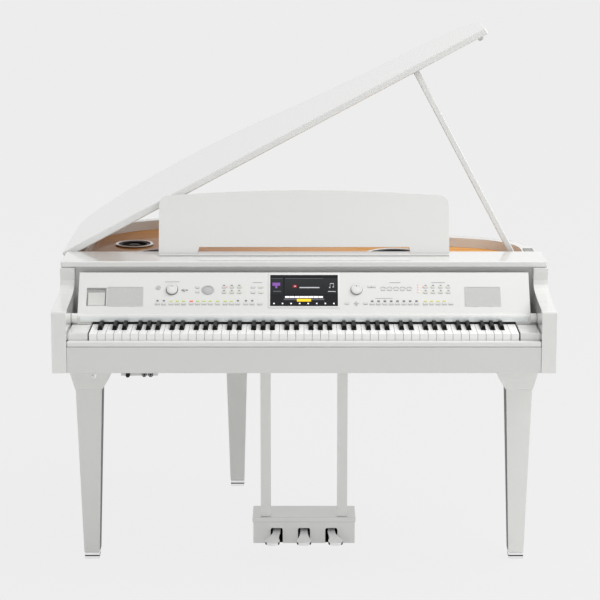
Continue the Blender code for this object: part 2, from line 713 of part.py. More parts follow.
def build_key_frame():
    """The tray under the keys with its pivot rod, and the blocks at its ends."""
    plate = FLOOR_TOP + GAP
    rib = KEY_PIVOT_Y - FRAME_RIB / 2
    half = KEYS_HALF - 0.0005
    guide = BLACK_FRONT - 0.010
    profile = [(FRAME_FRONT, plate), (FASCIA_FRONT - GAP, plate), (FASCIA_FRONT - GAP, plate + FRAME_PLATE),
               (rib + FRAME_RIB, plate + FRAME_PLATE),
               (rib + FRAME_RIB, KEY_PIVOT_Z - KEY_PIN_RADIUS * 1.5),
               (KEY_PIVOT_Y + KEY_PIN_RADIUS, KEY_PIVOT_Z)]
    for step in range(1, 8):
        angle = math.pi * step / 8
        profile.append((KEY_PIVOT_Y + KEY_PIN_RADIUS * math.cos(angle),
                        KEY_PIVOT_Z + KEY_PIN_RADIUS * math.sin(angle)))
    profile += [(KEY_PIVOT_Y - KEY_PIN_RADIUS, KEY_PIVOT_Z), (rib, KEY_PIVOT_Z - KEY_PIN_RADIUS * 1.5),
                (rib, plate + FRAME_PLATE), (guide + FRAME_RIB, plate + FRAME_PLATE),
                (guide + FRAME_RIB, KEY_UNDER - 0.011), (guide, KEY_UNDER - 0.011),
                (guide, plate + FRAME_PLATE), (FRAME_FRONT, plate + FRAME_PLATE)]
    piece("key_frame", slab(profile, -half, half, "YZ"), STEEL)
    for side, sign in (("left", -1), ("right", 1)):
        edges = sorted((sign * (KEYS_HALF + END_SLIT), sign * (INNER - 0.003)))
        body = box((edges[0], KEY_FRONT, FLOOR_TOP + GAP),
                   (edges[1], BLACK_REAR - KNUCKLE_RADIUS, KEY_TOP + 0.003))
        block = piece(f"key_block_{side}", body, LACQUER)
        soften(block, 0.0015, 1)
        rear = COVER_AXIS_Y + KNUCKLE_RADIUS + 0.010
        cheek = box((edges[0], BLACK_REAR - KNUCKLE_RADIUS - 0.002, FLOOR_TOP + GAP),
                    (edges[1], rear, COVER_AXIS_Z - KNUCKLE_RADIUS - 0.004))
        reshape(block, cheek, "UNION")


def build_key_cover():
    """The folding key cover with the control panel's fittings."""
    axis = empty("key_cover_axis", CASE, (0.0, COVER_AXIS_Y, COVER_AXIS_Z))
    up = Vector((math.sin(PANEL_LEAN), math.cos(PANEL_LEAN)))
    back = Vector((up.y, -up.x))
    foot = Vector((PANEL_FOOT_Y - COVER_AXIS_Y, PANEL_FOOT_Z - COVER_AXIS_Z))
    head = foot + up * PANEL_LENGTH
    lip_front = LIP_FRONT - COVER_AXIS_Y
    lip_bottom = LIP_BOTTOM - COVER_AXIS_Z
    profile = [foot, foot + Vector((-0.010, -0.0005)), Vector((lip_front + 0.002, foot.y - 0.003)),
               Vector((lip_front, foot.y - 0.006)), Vector((lip_front + 0.001, lip_bottom)),
               Vector((lip_front + LIP_DEPTH, lip_bottom)), foot + back * PANEL_THICK,
               head + back * PANEL_THICK,
               head + back * 0.002, head - up * 0.002]
    reach = INNER - COVER_SIDE_GAP - KNUCKLE_LENGTH
    cover = piece("key_cover", slab(profile, -reach, reach, "YZ"), LACQUER, parent=axis)
    for sign in (-1, 1):
        start = (sign * (reach - 0.002), 0.0, 0.0)
        end = (sign * (reach + KNUCKLE_LENGTH), 0.0, 0.0)
        reshape(cover, rod(start, end, KNUCKLE_RADIUS - 0.0005, sides=24), "UNION")
        pin_end = (sign * (INNER + COVER_PIN_REACH - GAP), 0.0, 0.0)
        reshape(cover, rod((sign * reach, 0.0, 0.0), pin_end, COVER_PIN_RADIUS, sides=16), "UNION")


    # On the panel X runs right, Y up the slope and Z out of its face.
    face = empty("panel_face", axis, (0.0, foot.x, foot.y), (math.pi / 2 - PANEL_LEAN, 0.0, 0.0))
    insets = {
        "touch_screen": (0.0, SCREEN_UP, SCREEN_WIDTH, SCREEN_HEIGHT, GLASS),
        "grille_left": (-GRILLE_OUT, GRILLE_UP, GRILLE_WIDTH, GRILLE_HEIGHT, GREY_PLASTIC),
        "grille_right": (GRILLE_OUT, GRILLE_UP, GRILLE_WIDTH, GRILLE_HEIGHT, GREY_PLASTIC),
    }
    turn = face.rotation_euler.to_matrix().to_4x4()
    to_axis = Matrix.Translation(face.location) @ turn
    for name, (across, along, width, height, look) in insets.items():
        low = Vector((across - width / 2, along - height / 2, -POCKET_DEPTH))
        high = Vector((across + width / 2, along + height / 2, INSET_PROUD))
        cut = box(low - Vector((GAP, GAP, GAP)), high + Vector((GAP, GAP, 0.01)))
        bmesh.ops.transform(cut, matrix=to_axis, verts=cut.verts)
        reshape(cover, cut)
        inset_piece = piece(name, box(low, high), look, parent=face)
        soften(inset_piece, 0.0006, 1)
    bay = box((-BAY_OUT - BAY_WIDTH / 2, BAY_UP - BAY_HEIGHT / 2, -BAY_DEPTH),
              (-BAY_OUT + BAY_WIDTH / 2, BAY_UP + BAY_HEIGHT / 2, 0.01))
    bmesh.ops.transform(bay, matrix=to_axis, verts=bay.verts)
    reshape(cover, bay)
    for name, across in (("volume_knob", VOLUME_OUT), ("data_dial", DIAL_OUT)):
        knob = rod((0.0, 0.0, GAP), (0.0, 0.0, KNOB_HEIGHT), KNOB_RADIUS, KNOB_RADIUS * 0.92, 28)
        soften(piece(name, knob, CHROME, parent=face, location=(across, KNOB_UP, 0.0)), 0.001, 1)
    well = rod((POWER_OUT, POWER_UP, -POCKET_DEPTH - BUTTON_TRAVEL_ROOM), (POWER_OUT, POWER_UP, 0.01),
               POWER_RADIUS + GAP, sides=20)
    bmesh.ops.transform(well, matrix=to_axis, verts=well.verts)
    reshape(cover, well)
    button = rod((0.0, 0.0, -POCKET_DEPTH), (0.0, 0.0, POWER_PROUD), POWER_RADIUS, sides=20)
    piece("power_button", button, GREY_PLASTIC, parent=face, location=(POWER_OUT, POWER_UP, 0.0))


def build_music_desk():
    """The music desk and the two struts behind it."""
    seat = BOARD_TOP + GAP
    axis = empty("music_desk_axis", CASE, (0.0, DESK_FOOT_Y, seat + 0.0001), (-DESK_LEAN, 0.0, 0.0))
    half, gap_half = DESK_WIDTH / 2, DESK_GAP_WIDTH / 2
    side, crown = DESK_SIDE_HEIGHT, DESK_SIDE_HEIGHT + DESK_CROWN
    points = [Vector((-half, 0.0)), Vector((-gap_half - DESK_GAP_SLANT, 0.0)),
              Vector((-gap_half, DESK_GAP_HEIGHT)), Vector((gap_half, DESK_GAP_HEIGHT)),
              Vector((gap_half + DESK_GAP_SLANT, 0.0)), Vector((half, 0.0))]
    points.append(Vector((half, side - DESK_CORNER)))
    points += bow(points[-1], (0, 1), (half - DESK_CORNER, side), (-1, 0.06), 4, 0.4)
    points += bow(points[-1], (-1, 0.06), (0.0, crown), (-1, 0), 6)
    points += bow((0.0, crown), (-1, 0), (DESK_CORNER - half, side), (-1, -0.06), 6)
    points += bow(points[-1], (-1, -0.06), (-half, side - DESK_CORNER), (0, -1), 4, 0.4)
    desk = piece("music_desk", slab(points, -DESK_THICK, 0.0, "XZ"), LACQUER, parent=axis)
    soften(desk, 0.002, 1)

    for side_name, sign in (("left", -1), ("right", 1)):
        place = (sign * STRUT_OUT, STRUT_FOOT_Y, seat + STRUT_RADIUS)
        pivot = empty(f"strut_axis_{side_name}", CASE, place, (-STRUT_LEAN, 0.0, 0.0))
        foot = rod((-STRUT_FOOT_LENGTH / 2, 0.0, 0.0), (STRUT_FOOT_LENGTH / 2, 0.0, 0.0),
                   STRUT_RADIUS, sides=12)
        strut = piece(f"desk_strut_{side_name}", foot, CHROME, parent=pivot)
        wire = rod((0.0, 0.0, 0.0), (0.0, 0.0, STRUT_LENGTH), STRUT_RADIUS * 0.9, sides=12)
        reshape(strut, wire, "UNION")


def leg_mesh(top_width, foot_low, outer):
    """A square leg that tapers to its foot, under a head that flares out to the case.

    outer is -1 or 1 for the side that looks away from the keyboard, or 0 where both are alike.
    """
    bm = bmesh.new()
    foot, knee = LEG_FOOT_WIDTH / 2, top_width / 2
    stations = [(foot_low, foot, foot, foot), (LEG_KNEE_Z, knee, knee, knee)]
    head = [*LEG_HEAD, (CASE_BOTTOM - GAP - LEG_KNEE_Z, *LEG_HEAD_TOP)]
    for rise, outward, inward, along in head:
        if not outer:
            outward = inward = along
        left, right = (outward, inward) if outer < 0 else (inward, outward)
        stations.append((LEG_KNEE_Z + rise, knee + left, knee + right, knee + along))
    rings = []
    for height, left, right, along in stations:
        corners = [(-left, -along), (right, -along), (right, along), (-left, along)]
        rings.append([bm.verts.new((x, y, height)) for x, y in corners])
    for low, high in zip(rings, rings[1:]):
        for k in range(4):
            bm.faces.new((low[k], low[(k + 1) % 4], high[(k + 1) % 4], high[k]))
    bm.faces.new(list(reversed(rings[0])))
    bm.faces.new(rings[-1])
    return bm


def build_legs():
    """Two front legs, a rear leg and their foot caps."""
    places = {
        "front_left": (-LEG_OUT, LEG_FRONT, LEG_TOP_WIDTH, -1),
        "front_right": (LEG_OUT, LEG_FRONT, LEG_TOP_WIDTH, 1),
        "rear": (REAR_LEG_X, REAR_LEG_FRONT, REAR_LEG_TOP_WIDTH, 0),
    }
    for name, (across, front, width, outer) in places.items():
        middle = (across, front + LEG_FOOT_WIDTH / 2, 0.0)
        leg = piece(f"leg_{name}", leg_mesh(width, FOOT_HEIGHT + GAP, outer), LACQUER, location=middle)
        soften(leg, 0.0015, 1)
        half = LEG_FOOT_WIDTH / 2
        cap = box((-half + 0.001, -half + 0.001, 0.0), (half - 0.001, half - 0.001, FOOT_HEIGHT))
        soften(piece(f"foot_{name}", cap, CHROME, location=middle), 0.0015, 1)


def pedal_outline(splay):
    """Plan of a pedal from its tip, at the front, back to its pivot end."""
    neck, tip = PEDAL_NECK / 2, PEDAL_TIP / 2
    reach = PEDAL_REACH
    right = [Vector((neck, 0.010)), Vector((neck, -reach + 0.085))]
    right += bow(right[-1], (0, -1), (tip + splay, -reach + 0.018), (0.25, -1), 5, 0.45)
    right += bow(right[-1], (0.1, -1), (splay, -reach), (-1, 0), 4, 0.5)
    left = [Vector((-neck, 0.010)), Vector((-neck, -reach + 0.085))]
    left += bow(left[-1], (0, -1), (splay - tip, -reach + 0.018), (-0.25, -1), 5, 0.45)
    left += bow(left[-1], (-0.1, -1), (splay, -reach), (1, 0), 4, 0.5)[:-1]
    return left + list(reversed(right))


def build_pedals():
    """Two posts, the pedal box with its cover plate, the shaft and three pedals."""
    for side, sign in (("left", -1), ("right", 1)):
        middle = sign * POST_OUT
        post = box((middle - POST_WIDTH / 2, POST_FRONT, PLATE_TOP + GAP),
                   (middle + POST_WIDTH / 2, POST_FRONT + POST_WIDTH, CASE_BOTTOM - GAP))
        soften(piece(f"pedal_post_{side}", post, LACQUER), 0.001, 1)
    half = PLATE_WIDTH / 2
    plate_low = PLATE_TOP - PLATE_THICK
    board = box((-half, PLATE_FRONT, plate_low), (half, PLATE_REAR, PLATE_TOP))
    plate = piece("pedal_plate", board, LACQUER)
    soften(plate, 0.0015, 1)

    wall = PEDAL_BOX_WALL
    low = Vector((-half + PEDAL_BOX_INSET, PLATE_FRONT + PEDAL_BOX_INSET, PEDAL_BOX_BOTTOM))
    high = Vector((half - PEDAL_BOX_INSET, PLATE_REAR - PEDAL_BOX_INSET, plate_low - GAP))
    shell = piece("pedal_box", box(low, high), LACQUER)
    reshape(shell, box(low + Vector((wall, wall, -0.01)), high - Vector((wall, wall, wall))))
    for number in (-1, 0, 1):
        middle = number * PEDAL_PITCH
        reshape(shell, box((middle - SLOT_WIDTH / 2, low.y - 0.01, low.z - 0.01),
                           (middle + SLOT_WIDTH / 2, low.y + wall + 0.01, SLOT_TOP)))
    shaft_half = high.x - wall - GAP
    shaft = rod((-shaft_half, PEDAL_AXIS_Y, PEDAL_AXIS_Z), (shaft_half, PEDAL_AXIS_Y, PEDAL_AXIS_Z),
                PEDAL_SHAFT_RADIUS, sides=20)
    piece("pedal_shaft", shaft, STEEL)
    for name, number in (("left", -1), ("middle", 0), ("right", 1)):
        pivot = empty(f"pedal_axis_{name}", CASE, (number * PEDAL_PITCH, PEDAL_AXIS_Y, PEDAL_AXIS_Z),
                      (PEDAL_SLOPE, 0.0, 0.0))
        half_thick = PEDAL_THICK / 2
        pedal = piece(f"pedal_{name}", slab(pedal_outline(number * PEDAL_SPLAY), -half_thick, half_thick),
                      CHROME, parent=pivot)
        neck = PEDAL_NECK / 2
        hub = rod((-neck, 0.0, 0.0), (neck, 0.0, 0.0), PEDAL_SHAFT_RADIUS * 2.2, sides=20)
        reshape(pedal, hub, "UNION")
        bore = rod((-neck - 0.01, 0.0, 0.0), (neck + 0.01, 0.0, 0.0), PEDAL_SHAFT_RADIUS + GAP, sides=20)
        reshape(pedal, bore)


def build_underside():
    """The jack box with its input knob, and the headphone hook."""
    low = Vector((JACK_BOX_X - JACK_BOX_WIDTH / 2, JACK_BOX_FRONT, CASE_BOTTOM - GAP - JACK_BOX_HEIGHT))
    high = Vector((JACK_BOX_X + JACK_BOX_WIDTH / 2, JACK_BOX_FRONT + JACK_BOX_DEPTH, CASE_BOTTOM - GAP))
    jack_box = piece("jack_box", box(low, high), GREY_PLASTIC)
    middle = low.z + JACK_LIFT
    for place in JACK_PLACES:
        collar = JACK_BOX_X + place
        nut = rod((collar, low.y - 0.004, middle), (collar, low.y + 0.002, middle), JACK_COLLAR, sides=16)
        reshape(jack_box, nut, "UNION")
        bore = rod((collar, low.y - 0.006, middle), (collar, low.y + 0.020, middle), JACK_BORE, sides=12)
        reshape(jack_box, bore)
    knob_x = JACK_BOX_X + INPUT_KNOB_PLACE
    knob = rod((0.0, -GAP, 0.0), (0.0, -INPUT_KNOB_LENGTH, 0.0), INPUT_KNOB_RADIUS,
               INPUT_KNOB_RADIUS * 0.9, 20)
    piece("input_knob", knob, DARK_PLASTIC, location=(knob_x, low.y, middle))

    # The hook's wire leaves its pad, bends forward and turns up at both ends.
    top = CASE_BOTTOM - GAP
    pad = box((HOOK_X - 0.012, HOOK_FRONT + 0.010, top - 0.003), (HOOK_X + 0.012, HOOK_FRONT + 0.028, top))
    hook = piece("headphone_hook", pad, LACQUER)
    wire = HOOK_WIRE
    base = HOOK_FRONT + 0.019
    drop = rod((HOOK_X, base, top - 0.001), (HOOK_X, base, top - 0.0215), wire, sides=12)
    reshape(hook, drop, "UNION")
    arm = rod((HOOK_X, base + wire * 0.6, top - 0.0205), (HOOK_X, HOOK_FRONT - 0.012, top - 0.0205),
              wire * 0.95, sides=12)
    reshape(hook, arm, "UNION")
    tip = rod((HOOK_X, HOOK_FRONT - 0.0105, top - 0.0220), (HOOK_X, HOOK_FRONT - 0.0105, top - 0.0095),
              wire * 0.9, sides=12)
    reshape(hook, tip, "UNION")


def build_electronics():
    """The sound circuit board on its stands."""
    across, back = CIRCUIT_X, CIRCUIT_Y
    width, depth, thick = CIRCUIT_WIDTH, CIRCUIT_DEPTH, CIRCUIT_THICK
    low = FLOOR_TOP + GAP
    plate = box((across - width / 2, back, low + CIRCUIT_STAND),
                (across + width / 2, back + depth, low + CIRCUIT_STAND + thick))
    board = piece("sound_circuit", plate, GREEN_BOARD)
    stands = bmesh.new()
    for x in (across - width / 2 + 0.01, across + width / 2 - 0.01):
        for y in (back + 0.01, back + depth - 0.01):
            rod((x, y, low), (x, y, low + CIRCUIT_STAND + thick / 2), 0.004, sides=8, bm=stands)
    reshape(board, stands, "UNION")


def case_origin():
    """Where the case frame lies, so that the open piano's box stands centred on the origin."""
    corner = Vector((-LID_OVERHANG, LID_THICK - LID_EDGE))
    left = -HALF + corner.x * math.cos(LID_OPEN) - corner.y * math.sin(LID_OPEN)
    return (-(left + HALF) / 2, -CASE_DEPTH / 2, 0.0)


def main():
    """Builds the whole piano."""
    global PARTS, CUTTERS, CASE
    clear_scene()
    PARTS = new_collection("digital_grand_piano")
    CUTTERS = new_collection("cutters")
    CASE = empty("case_frame", None, case_origin())
    build_case()
    build_soundboard()
    build_lid()
    build_keys()
    build_key_frame()
    build_key_cover()
    build_music_desk()
    build_legs()
    build_pedals()
    build_underside()
    build_electronics()


main()
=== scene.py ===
"""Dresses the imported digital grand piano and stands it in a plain, softly lit studio.

The case frame, with its origin on the floor at the front middle of the case, lies at CASE in the
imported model's own frame. Panel and lid pieces are drawn flat in frames of their own and then
carried to their place. Lengths are in metres.
"""
import logging
import math
from dataclasses import dataclass, field
from enum import Enum
from typing import Callable, ClassVar, Iterable

import bpy
from mathutils import Matrix, Vector


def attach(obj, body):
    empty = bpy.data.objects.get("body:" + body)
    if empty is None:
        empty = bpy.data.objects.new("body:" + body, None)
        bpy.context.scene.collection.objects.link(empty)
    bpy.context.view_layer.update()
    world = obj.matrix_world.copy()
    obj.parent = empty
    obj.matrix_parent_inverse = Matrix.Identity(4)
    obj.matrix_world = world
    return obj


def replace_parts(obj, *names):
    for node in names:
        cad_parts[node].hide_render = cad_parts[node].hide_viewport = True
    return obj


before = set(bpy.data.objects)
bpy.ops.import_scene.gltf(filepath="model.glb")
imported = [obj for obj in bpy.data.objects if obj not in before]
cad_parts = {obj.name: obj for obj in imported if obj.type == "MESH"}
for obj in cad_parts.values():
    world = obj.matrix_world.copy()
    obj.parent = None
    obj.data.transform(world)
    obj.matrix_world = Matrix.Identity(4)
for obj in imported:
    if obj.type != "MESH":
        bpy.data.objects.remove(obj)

Flat = tuple[float, float]
Spot = tuple[float, float, float]
Colour = tuple[float, float, float]
Kept = dict[str, tuple[str, ...]]
Piece = bpy.types.Object
Socket = bpy.types.NodeSocket

LOG = logging.getLogger("piano")
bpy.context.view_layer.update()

CASE = Vector((0.0062155, -0.6185, 0.0))
HALF_WIDTH = 0.7145
KEYS_HALF = 0.611
BLOCKS_INNER = 0.673
PANEL_LEAN = math.radians(37.7)
LID_ANGLE = math.radians(28.16)
PANEL = (Matrix.Translation(CASE + Vector((0.0, 0.168, 0.798)))
         @ Matrix.Rotation(math.pi / 2 - PANEL_LEAN, 4, "X"))
LID = (Matrix.Translation(CASE + Vector((-HALF_WIDTH, 0.0, 0.912)))
       @ Matrix.Rotation(-LID_ANGLE, 4, "Y"))
STANDING = Matrix.Translation(CASE)
SKIN = 0.0003
THROUGH = 0.01
SIDES = (("left", -1.0), ("right", 1.0))


class Slot(Enum):
    """The record's material slots, named in each new piece's berth; nothing here reads them."""

    LACQUER = "lacquer"
    CHROME = "chrome"
    STEEL = "steel"
    GREY = "grey_plastic"
    DARK = "dark_plastic"
    GLASS = "screen_glass"


@dataclass(frozen=True)
class Berth:
    """Where a piece belongs: the record's slot, its body and the frame that it was drawn in."""

    slot: Slot
    body: str = "case"
    carry: Matrix | None = STANDING


ON_PANEL = Berth(Slot.GREY, "cover_body", PANEL)


def shade(tone: Colour, factor: float) -> Colour:
    """A tone made darker or paler by a factor, up to white."""
    return tuple(min(1.0, part * factor) for part in tone)


def operator(operation: str, swapped: bool = False) -> Callable[["Wire", object], "Wire"]:
    """Makes a method that puts a wire and another number through a Math node.

    Args:
        operation: the node's operation.
        swapped: whether the other number comes first.

    Returns:
        The method.
    """
    def method(wire: "Wire", other: object) -> "Wire":
        """Gives the node's result."""
        pair = (other, wire) if swapped else (wire, other)
        return wire.nodes.wire("ShaderNodeMath", {"operation": operation}, dict(enumerate(pair)))
    return method


class Wire:
    """A number that travels through a tree's nodes and takes part in plain arithmetic."""

    __add__, __radd__ = operator("ADD"), operator("ADD", True)
    __sub__, __rsub__ = operator("SUBTRACT"), operator("SUBTRACT", True)
    __mul__, __rmul__ = operator("MULTIPLY"), operator("MULTIPLY", True)
    __truediv__ = operator("DIVIDE")
    __gt__, __lt__ = operator("GREATER_THAN"), operator("LESS_THAN")
    power, most = operator("POWER"), operator("MAXIMUM")

    def __init__(self, nodes: "Nodes", socket: Socket) -> None:
        """Wraps one output socket of a tree's node."""
        self.nodes = nodes
        self.socket = socket

    def fraction(self) -> "Wire":
        """What is left above the whole number."""
        return self.nodes.wire("ShaderNodeMath", {"operation": "FRACT"}, {0: self})


class Nodes:
    """A node tree and the means to wire it up."""

    def __init__(self, tree: bpy.types.NodeTree) -> None:
        """Takes a tree in hand."""
        self.tree = tree

    def node(self, kind: str, settings: dict | None = None, values: dict | None = None) -> bpy.types.Node:
        """Adds any node.

        Args:
            kind: the node's type.
            settings: its own settings, which are set first.
            values: a number, colour, socket or wire for each input, by name or place.

        Returns:
            The new node.
        """
        made = self.tree.nodes.new(kind)
        for key, setting in (settings or {}).items():
            setattr(made, key, setting)
        self.feed(made, values or {})
        return made

    def feed(self, node: bpy.types.Node, values: dict) -> None:
        """Sets or links a node's inputs.

        Args:
            node: the node.
            values: a number, colour, socket or wire for each input, by name or place.
        """
        for key, value in values.items():
            target = node.inputs[key]
            if isinstance(value, Wire):
                value = value.socket
            if isinstance(value, Socket):
                self.tree.links.new(value, target)
            elif isinstance(value, tuple) and target.type == "RGBA":
                target.default_value = (*value, 1.0)
            else:
                target.default_value = value

    def wire(self, kind: str, settings: dict | None, values: dict, out: int = 0) -> Wire:
        """Adds a node and gives one of its outputs as a wire."""
        return Wire(self, self.node(kind, settings, values).outputs[out])

    def split(self, vector: Socket) -> list[Wire]:
        """A vector's three numbers as wires."""
        return [Wire(self, part) for part in self.node("ShaderNodeSeparateXYZ", None, {0: vector}).outputs]

    def seen(self) -> Wire:
        """One on rays from the camera, off polished faces and through glass, else nought."""
        rays = self.node("ShaderNodeLightPath").outputs
        camera, glossy, clear = (Wire(self, rays[f"Is {kind} Ray"])
                                 for kind in ("Camera", "Glossy", "Transmission"))
        return camera.most(glossy).most(clear)


class Paint(Nodes):
    """One procedural material, built from nodes on the piece's own coordinates."""

    def __init__(self, name: str) -> None:
        """Starts a material with an empty Principled surface."""
        self.material = bpy.data.materials.new(name)
        self.material.use_nodes = True
        super().__init__(self.material.node_tree)
        self.surface = self.tree.nodes["Principled BSDF"]
        self._place: Socket | None = None

    @property
    def place(self) -> Socket:
        """The piece's own coordinates."""
        if self._place is None:
            self._place = self.node("ShaderNodeTexCoord").outputs["Object"]
        return self._place

    def noise(self, scale: float, detail: float = 2.0, stretch: Spot | None = None) -> Wire:
        """Soft noise.

        Args:
            scale: cells a metre.
            detail: octaves.
            stretch: a factor on each axis before the noise is read.

        Returns:
            The noise, about a half on average.
        """
        where = self.place
        if stretch:
            where = self.node("ShaderNodeMapping", None, {"Vector": where, "Scale": stretch}).outputs[0]
        return self.wire("ShaderNodeTexNoise", None, {"Vector": where, "Scale": scale, "Detail": detail})

    def blend(self, share: object, first: object, second: object) -> Socket:
        """A colour between two, by a share."""
        mixed = self.node("ShaderNodeMix", {"data_type": "RGBA"}, {0: share, 6: first, 7: second})
        return mixed.outputs[2]

    def relief(self, height: Wire, strength: float, depth: float) -> None:
        """Gives the surface a fine relief."""
        bump = self.node("ShaderNodeBump", None, {"Strength": strength, "Distance": depth, "Height": height})
        self.feed(self.surface, {"Normal": bump.outputs[0]})

    def finish(self, **values: object) -> None:
        """Sets the surface's inputs, with underscores for spaces."""
        self.feed(self.surface, {key.replace("_", " "): value for key, value in values.items()})


@dataclass(frozen=True)
class Finish:
    """The recipe of one material, with the tone that most of it shows."""

    name: str
    tone: Colour

    def mix(self) -> bpy.types.Material:
        """Builds the material."""
        paint = Paint(self.name)
        self.lay(paint)
        return paint.material

    def lay(self, paint: Paint) -> None:
        """Wires up the paint.

        Args:
            paint: the fresh material, whose surface is still plain.
        """
        raise NotImplementedError


@dataclass(frozen=True)
class Lacquer(Finish):
    """White polyester lacquer: a near mirror coat over a very even ground."""

    deep: Colour
    polish: float

    def lay(self, paint: Paint) -> None:
        """Wires up the paint."""
        cloud = paint.noise(3.0, 3.0)
        dust = paint.noise(420.0, 2.0)
        paint.relief(paint.noise(40.0, 1.0) + dust * 0.1, 0.006, 0.0002)
        paint.finish(Base_Color=paint.blend(cloud, self.deep, self.tone),
                     Roughness=self.polish + dust * 0.04 + cloud * 0.05,
                     Specular_IOR_Level=0.3, Coat_Weight=1.0, Coat_Roughness=0.05)


@dataclass(frozen=True)
class KeyTop(Finish):
    """Moulded key covering with a faint pore, with painted shade on a key's flanks for the dark gaps between
    keys.
    """

    roughness: float
    gloss: float
    painted_gap_shade: float = 1.0

    def lay(self, paint: Paint) -> None:
        """Wires up the paint."""
        pore = paint.noise(900.0, 2.0, (1.0, 0.25, 1.0))
        worn = paint.noise(18.0)
        paint.relief(pore, 0.12, 0.0002)
        across = paint.split(paint.node("ShaderNodeNewGeometry").outputs["True Normal"])[0]
        top = paint.blend(worn, self.tone, shade(self.tone, 0.95))
        # Faces whose normal points across are a key's flanks and take the painted gap shade.
        paint.finish(Base_Color=paint.blend(across * across > 0.9, top, shade(self.tone, self.painted_gap_shade)),
                     Roughness=self.roughness + pore * 0.10 + worn * 0.05, Specular_IOR_Level=self.gloss)


@dataclass(frozen=True)
class Metal(Finish):
    """Metal, polished or brushed, that darkens a little towards its edges, a painted dark reflection."""

    roughness: float
    edge: float
    metallic: float = 1.0
    brushing: Spot | None = None

    def lay(self, paint: Paint) -> None:
        """Wires up the paint."""
        marks = paint.noise(700.0, 3.0, self.brushing)
        haze = paint.noise(35.0)
        # Darker colour where the face turns from the view, by the edge factor: a painted dark reflection.
        turn = paint.wire("ShaderNodeLayerWeight", None, {"Blend": 0.35}, 1)
        paint.relief(marks, 0.05, 0.0001)
        paint.finish(Base_Color=paint.blend(turn, self.tone, shade(self.tone, self.edge)),
                     Metallic=self.metallic, Roughness=self.roughness + marks * 0.06 + haze * 0.05)


@dataclass(frozen=True)
class FootMetal(Finish):
    """Polished cap of a foot, with a dark parting line between two heights."""

    line: Colour = (0.015, 0.015, 0.015)
    low: float = 0.0085
    high: float = 0.0125

    def lay(self, paint: Paint) -> None:
        """Wires up the paint."""
        height = paint.split(paint.place)[2]
        band = (height > self.low) * (height < self.high)
        haze = paint.noise(90.0)
        paint.relief(haze - band * 1.5, 0.2, 0.0003)
        paint.finish(Base_Color=paint.blend(band, self.tone, self.line), Metallic=0.9 - band * 0.9,
                     Roughness=0.12 + haze * 0.08 + band * 0.4)


@dataclass(frozen=True)
class Timber(Finish):
    """Stained spruce with its grain along X, under a satin varnish."""

    dark: Colour
    rings: float = 34.0

    def lay(self, paint: Paint) -> None:
        """Wires up the paint."""
        drift = paint.noise(1.6, 3.0, (0.5, 1.6, 1.0))
        across = paint.split(paint.place)[1]
        rings = (across * self.rings + drift * 9.0).fraction()
        fibre = paint.noise(60.0, 4.0, (0.12, 4.0, 4.0))
        patch = paint.noise(5.0, 2.0, (0.35, 1.3, 1.0))
        grain = rings.power(2.0) * 0.45 + fibre * 0.35 + patch * 0.35
        paint.relief(fibre, 0.08, 0.0003)
        paint.finish(Base_Color=paint.blend(grain, self.tone, self.dark), Roughness=0.42 + fibre * 0.18,
                     Specular_IOR_Level=0.15, Coat_Weight=0.3, Coat_Roughness=0.08)


@dataclass(frozen=True)
class Moulding(Finish):
    """Moulded plastic or felt with a fine even texture."""

    roughness: float = 0.55
    texture: float = 700.0
    depth: float = 0.2

    def lay(self, paint: Paint) -> None:
        """Wires up the paint."""
        grit = paint.noise(self.texture, 3.0)
        cloud = paint.noise(12.0)
        paint.relief(grit, self.depth, 0.0003)
        paint.finish(Base_Color=paint.blend(cloud * 0.5 + grit * 0.5, self.tone, shade(self.tone, 0.86)),
                     Roughness=self.roughness + grit * 0.12)


@dataclass(frozen=True)
class Perforated(Finish):
    """A grille's punched face: staggered rows of small round holes up the panel's slope."""

    hole: Colour
    pitch: float = 0.0032
    row_step: float = 0.866
    spread: float = 0.085

    def lay(self, paint: Paint) -> None:
        """Wires up the paint."""
        right, back, high = paint.split(paint.place)
        up = back * math.sin(PANEL_LEAN) + high * math.cos(PANEL_LEAN)
        row = up / (self.pitch * self.row_step)
        stagger = (row * 0.5).fraction() > 0.5
        across = (right / self.pitch + stagger * 0.5).fraction() - 0.5
        along = row.fraction() - 0.5
        spot = (across * across + along * along) < self.spread
        paint.relief(1.0 - spot, 0.5, 0.0006)
        paint.finish(Base_Color=paint.blend(spot, self.tone, self.hole), Roughness=0.55 + spot * 0.3)


@dataclass(frozen=True)
class DarkGlass(Finish):
    """The screen's glass, with a faint film of fingerprints."""

    film: Colour

    def lay(self, paint: Paint) -> None:
        """Wires up the paint."""
        film = paint.noise(45.0, 3.0)
        paint.finish(Base_Color=paint.blend(film, self.tone, self.film), Roughness=0.10 + film * 0.08,
                     Specular_IOR_Level=0.2)


@dataclass(frozen=True)
class Glow(Finish):
    """A lit lamp or a lit part of the screen's picture, paler towards its top by a fade."""

    strength: float
    fade: float = 0.0
    foot: float = 0.83
    reach: float = 0.06

    def lay(self, paint: Paint) -> None:
        """Wires up the paint."""
        grain = paint.noise(260.0, 1.0)
        colour = paint.blend(grain * 0.3, self.tone, shade(self.tone, 0.6))
        if self.fade:
            rise = (paint.split(paint.place)[2] - self.foot) / self.reach
            colour = paint.blend(rise * self.fade, colour, shade(self.tone, 2.6))
        paint.finish(Base_Color=colour, Emission_Color=colour, Emission_Strength=self.strength,
                     Roughness=0.30 + grain * 0.1, Specular_IOR_Level=0.2)


@dataclass(frozen=True)
class Circuit(Finish):
    """A circuit board's green mask with paler traces."""

    trace: Colour

    def lay(self, paint: Paint) -> None:
        """Wires up the paint."""
        right, back, _ = paint.split(paint.place)
        trace = ((right * 180.0).fraction() > 0.82) + ((back * 150.0).fraction() > 0.86)
        paint.finish(Base_Color=paint.blend(trace * 0.5, self.tone, self.trace),
                     Roughness=0.35 + paint.noise(80.0) * 0.1)


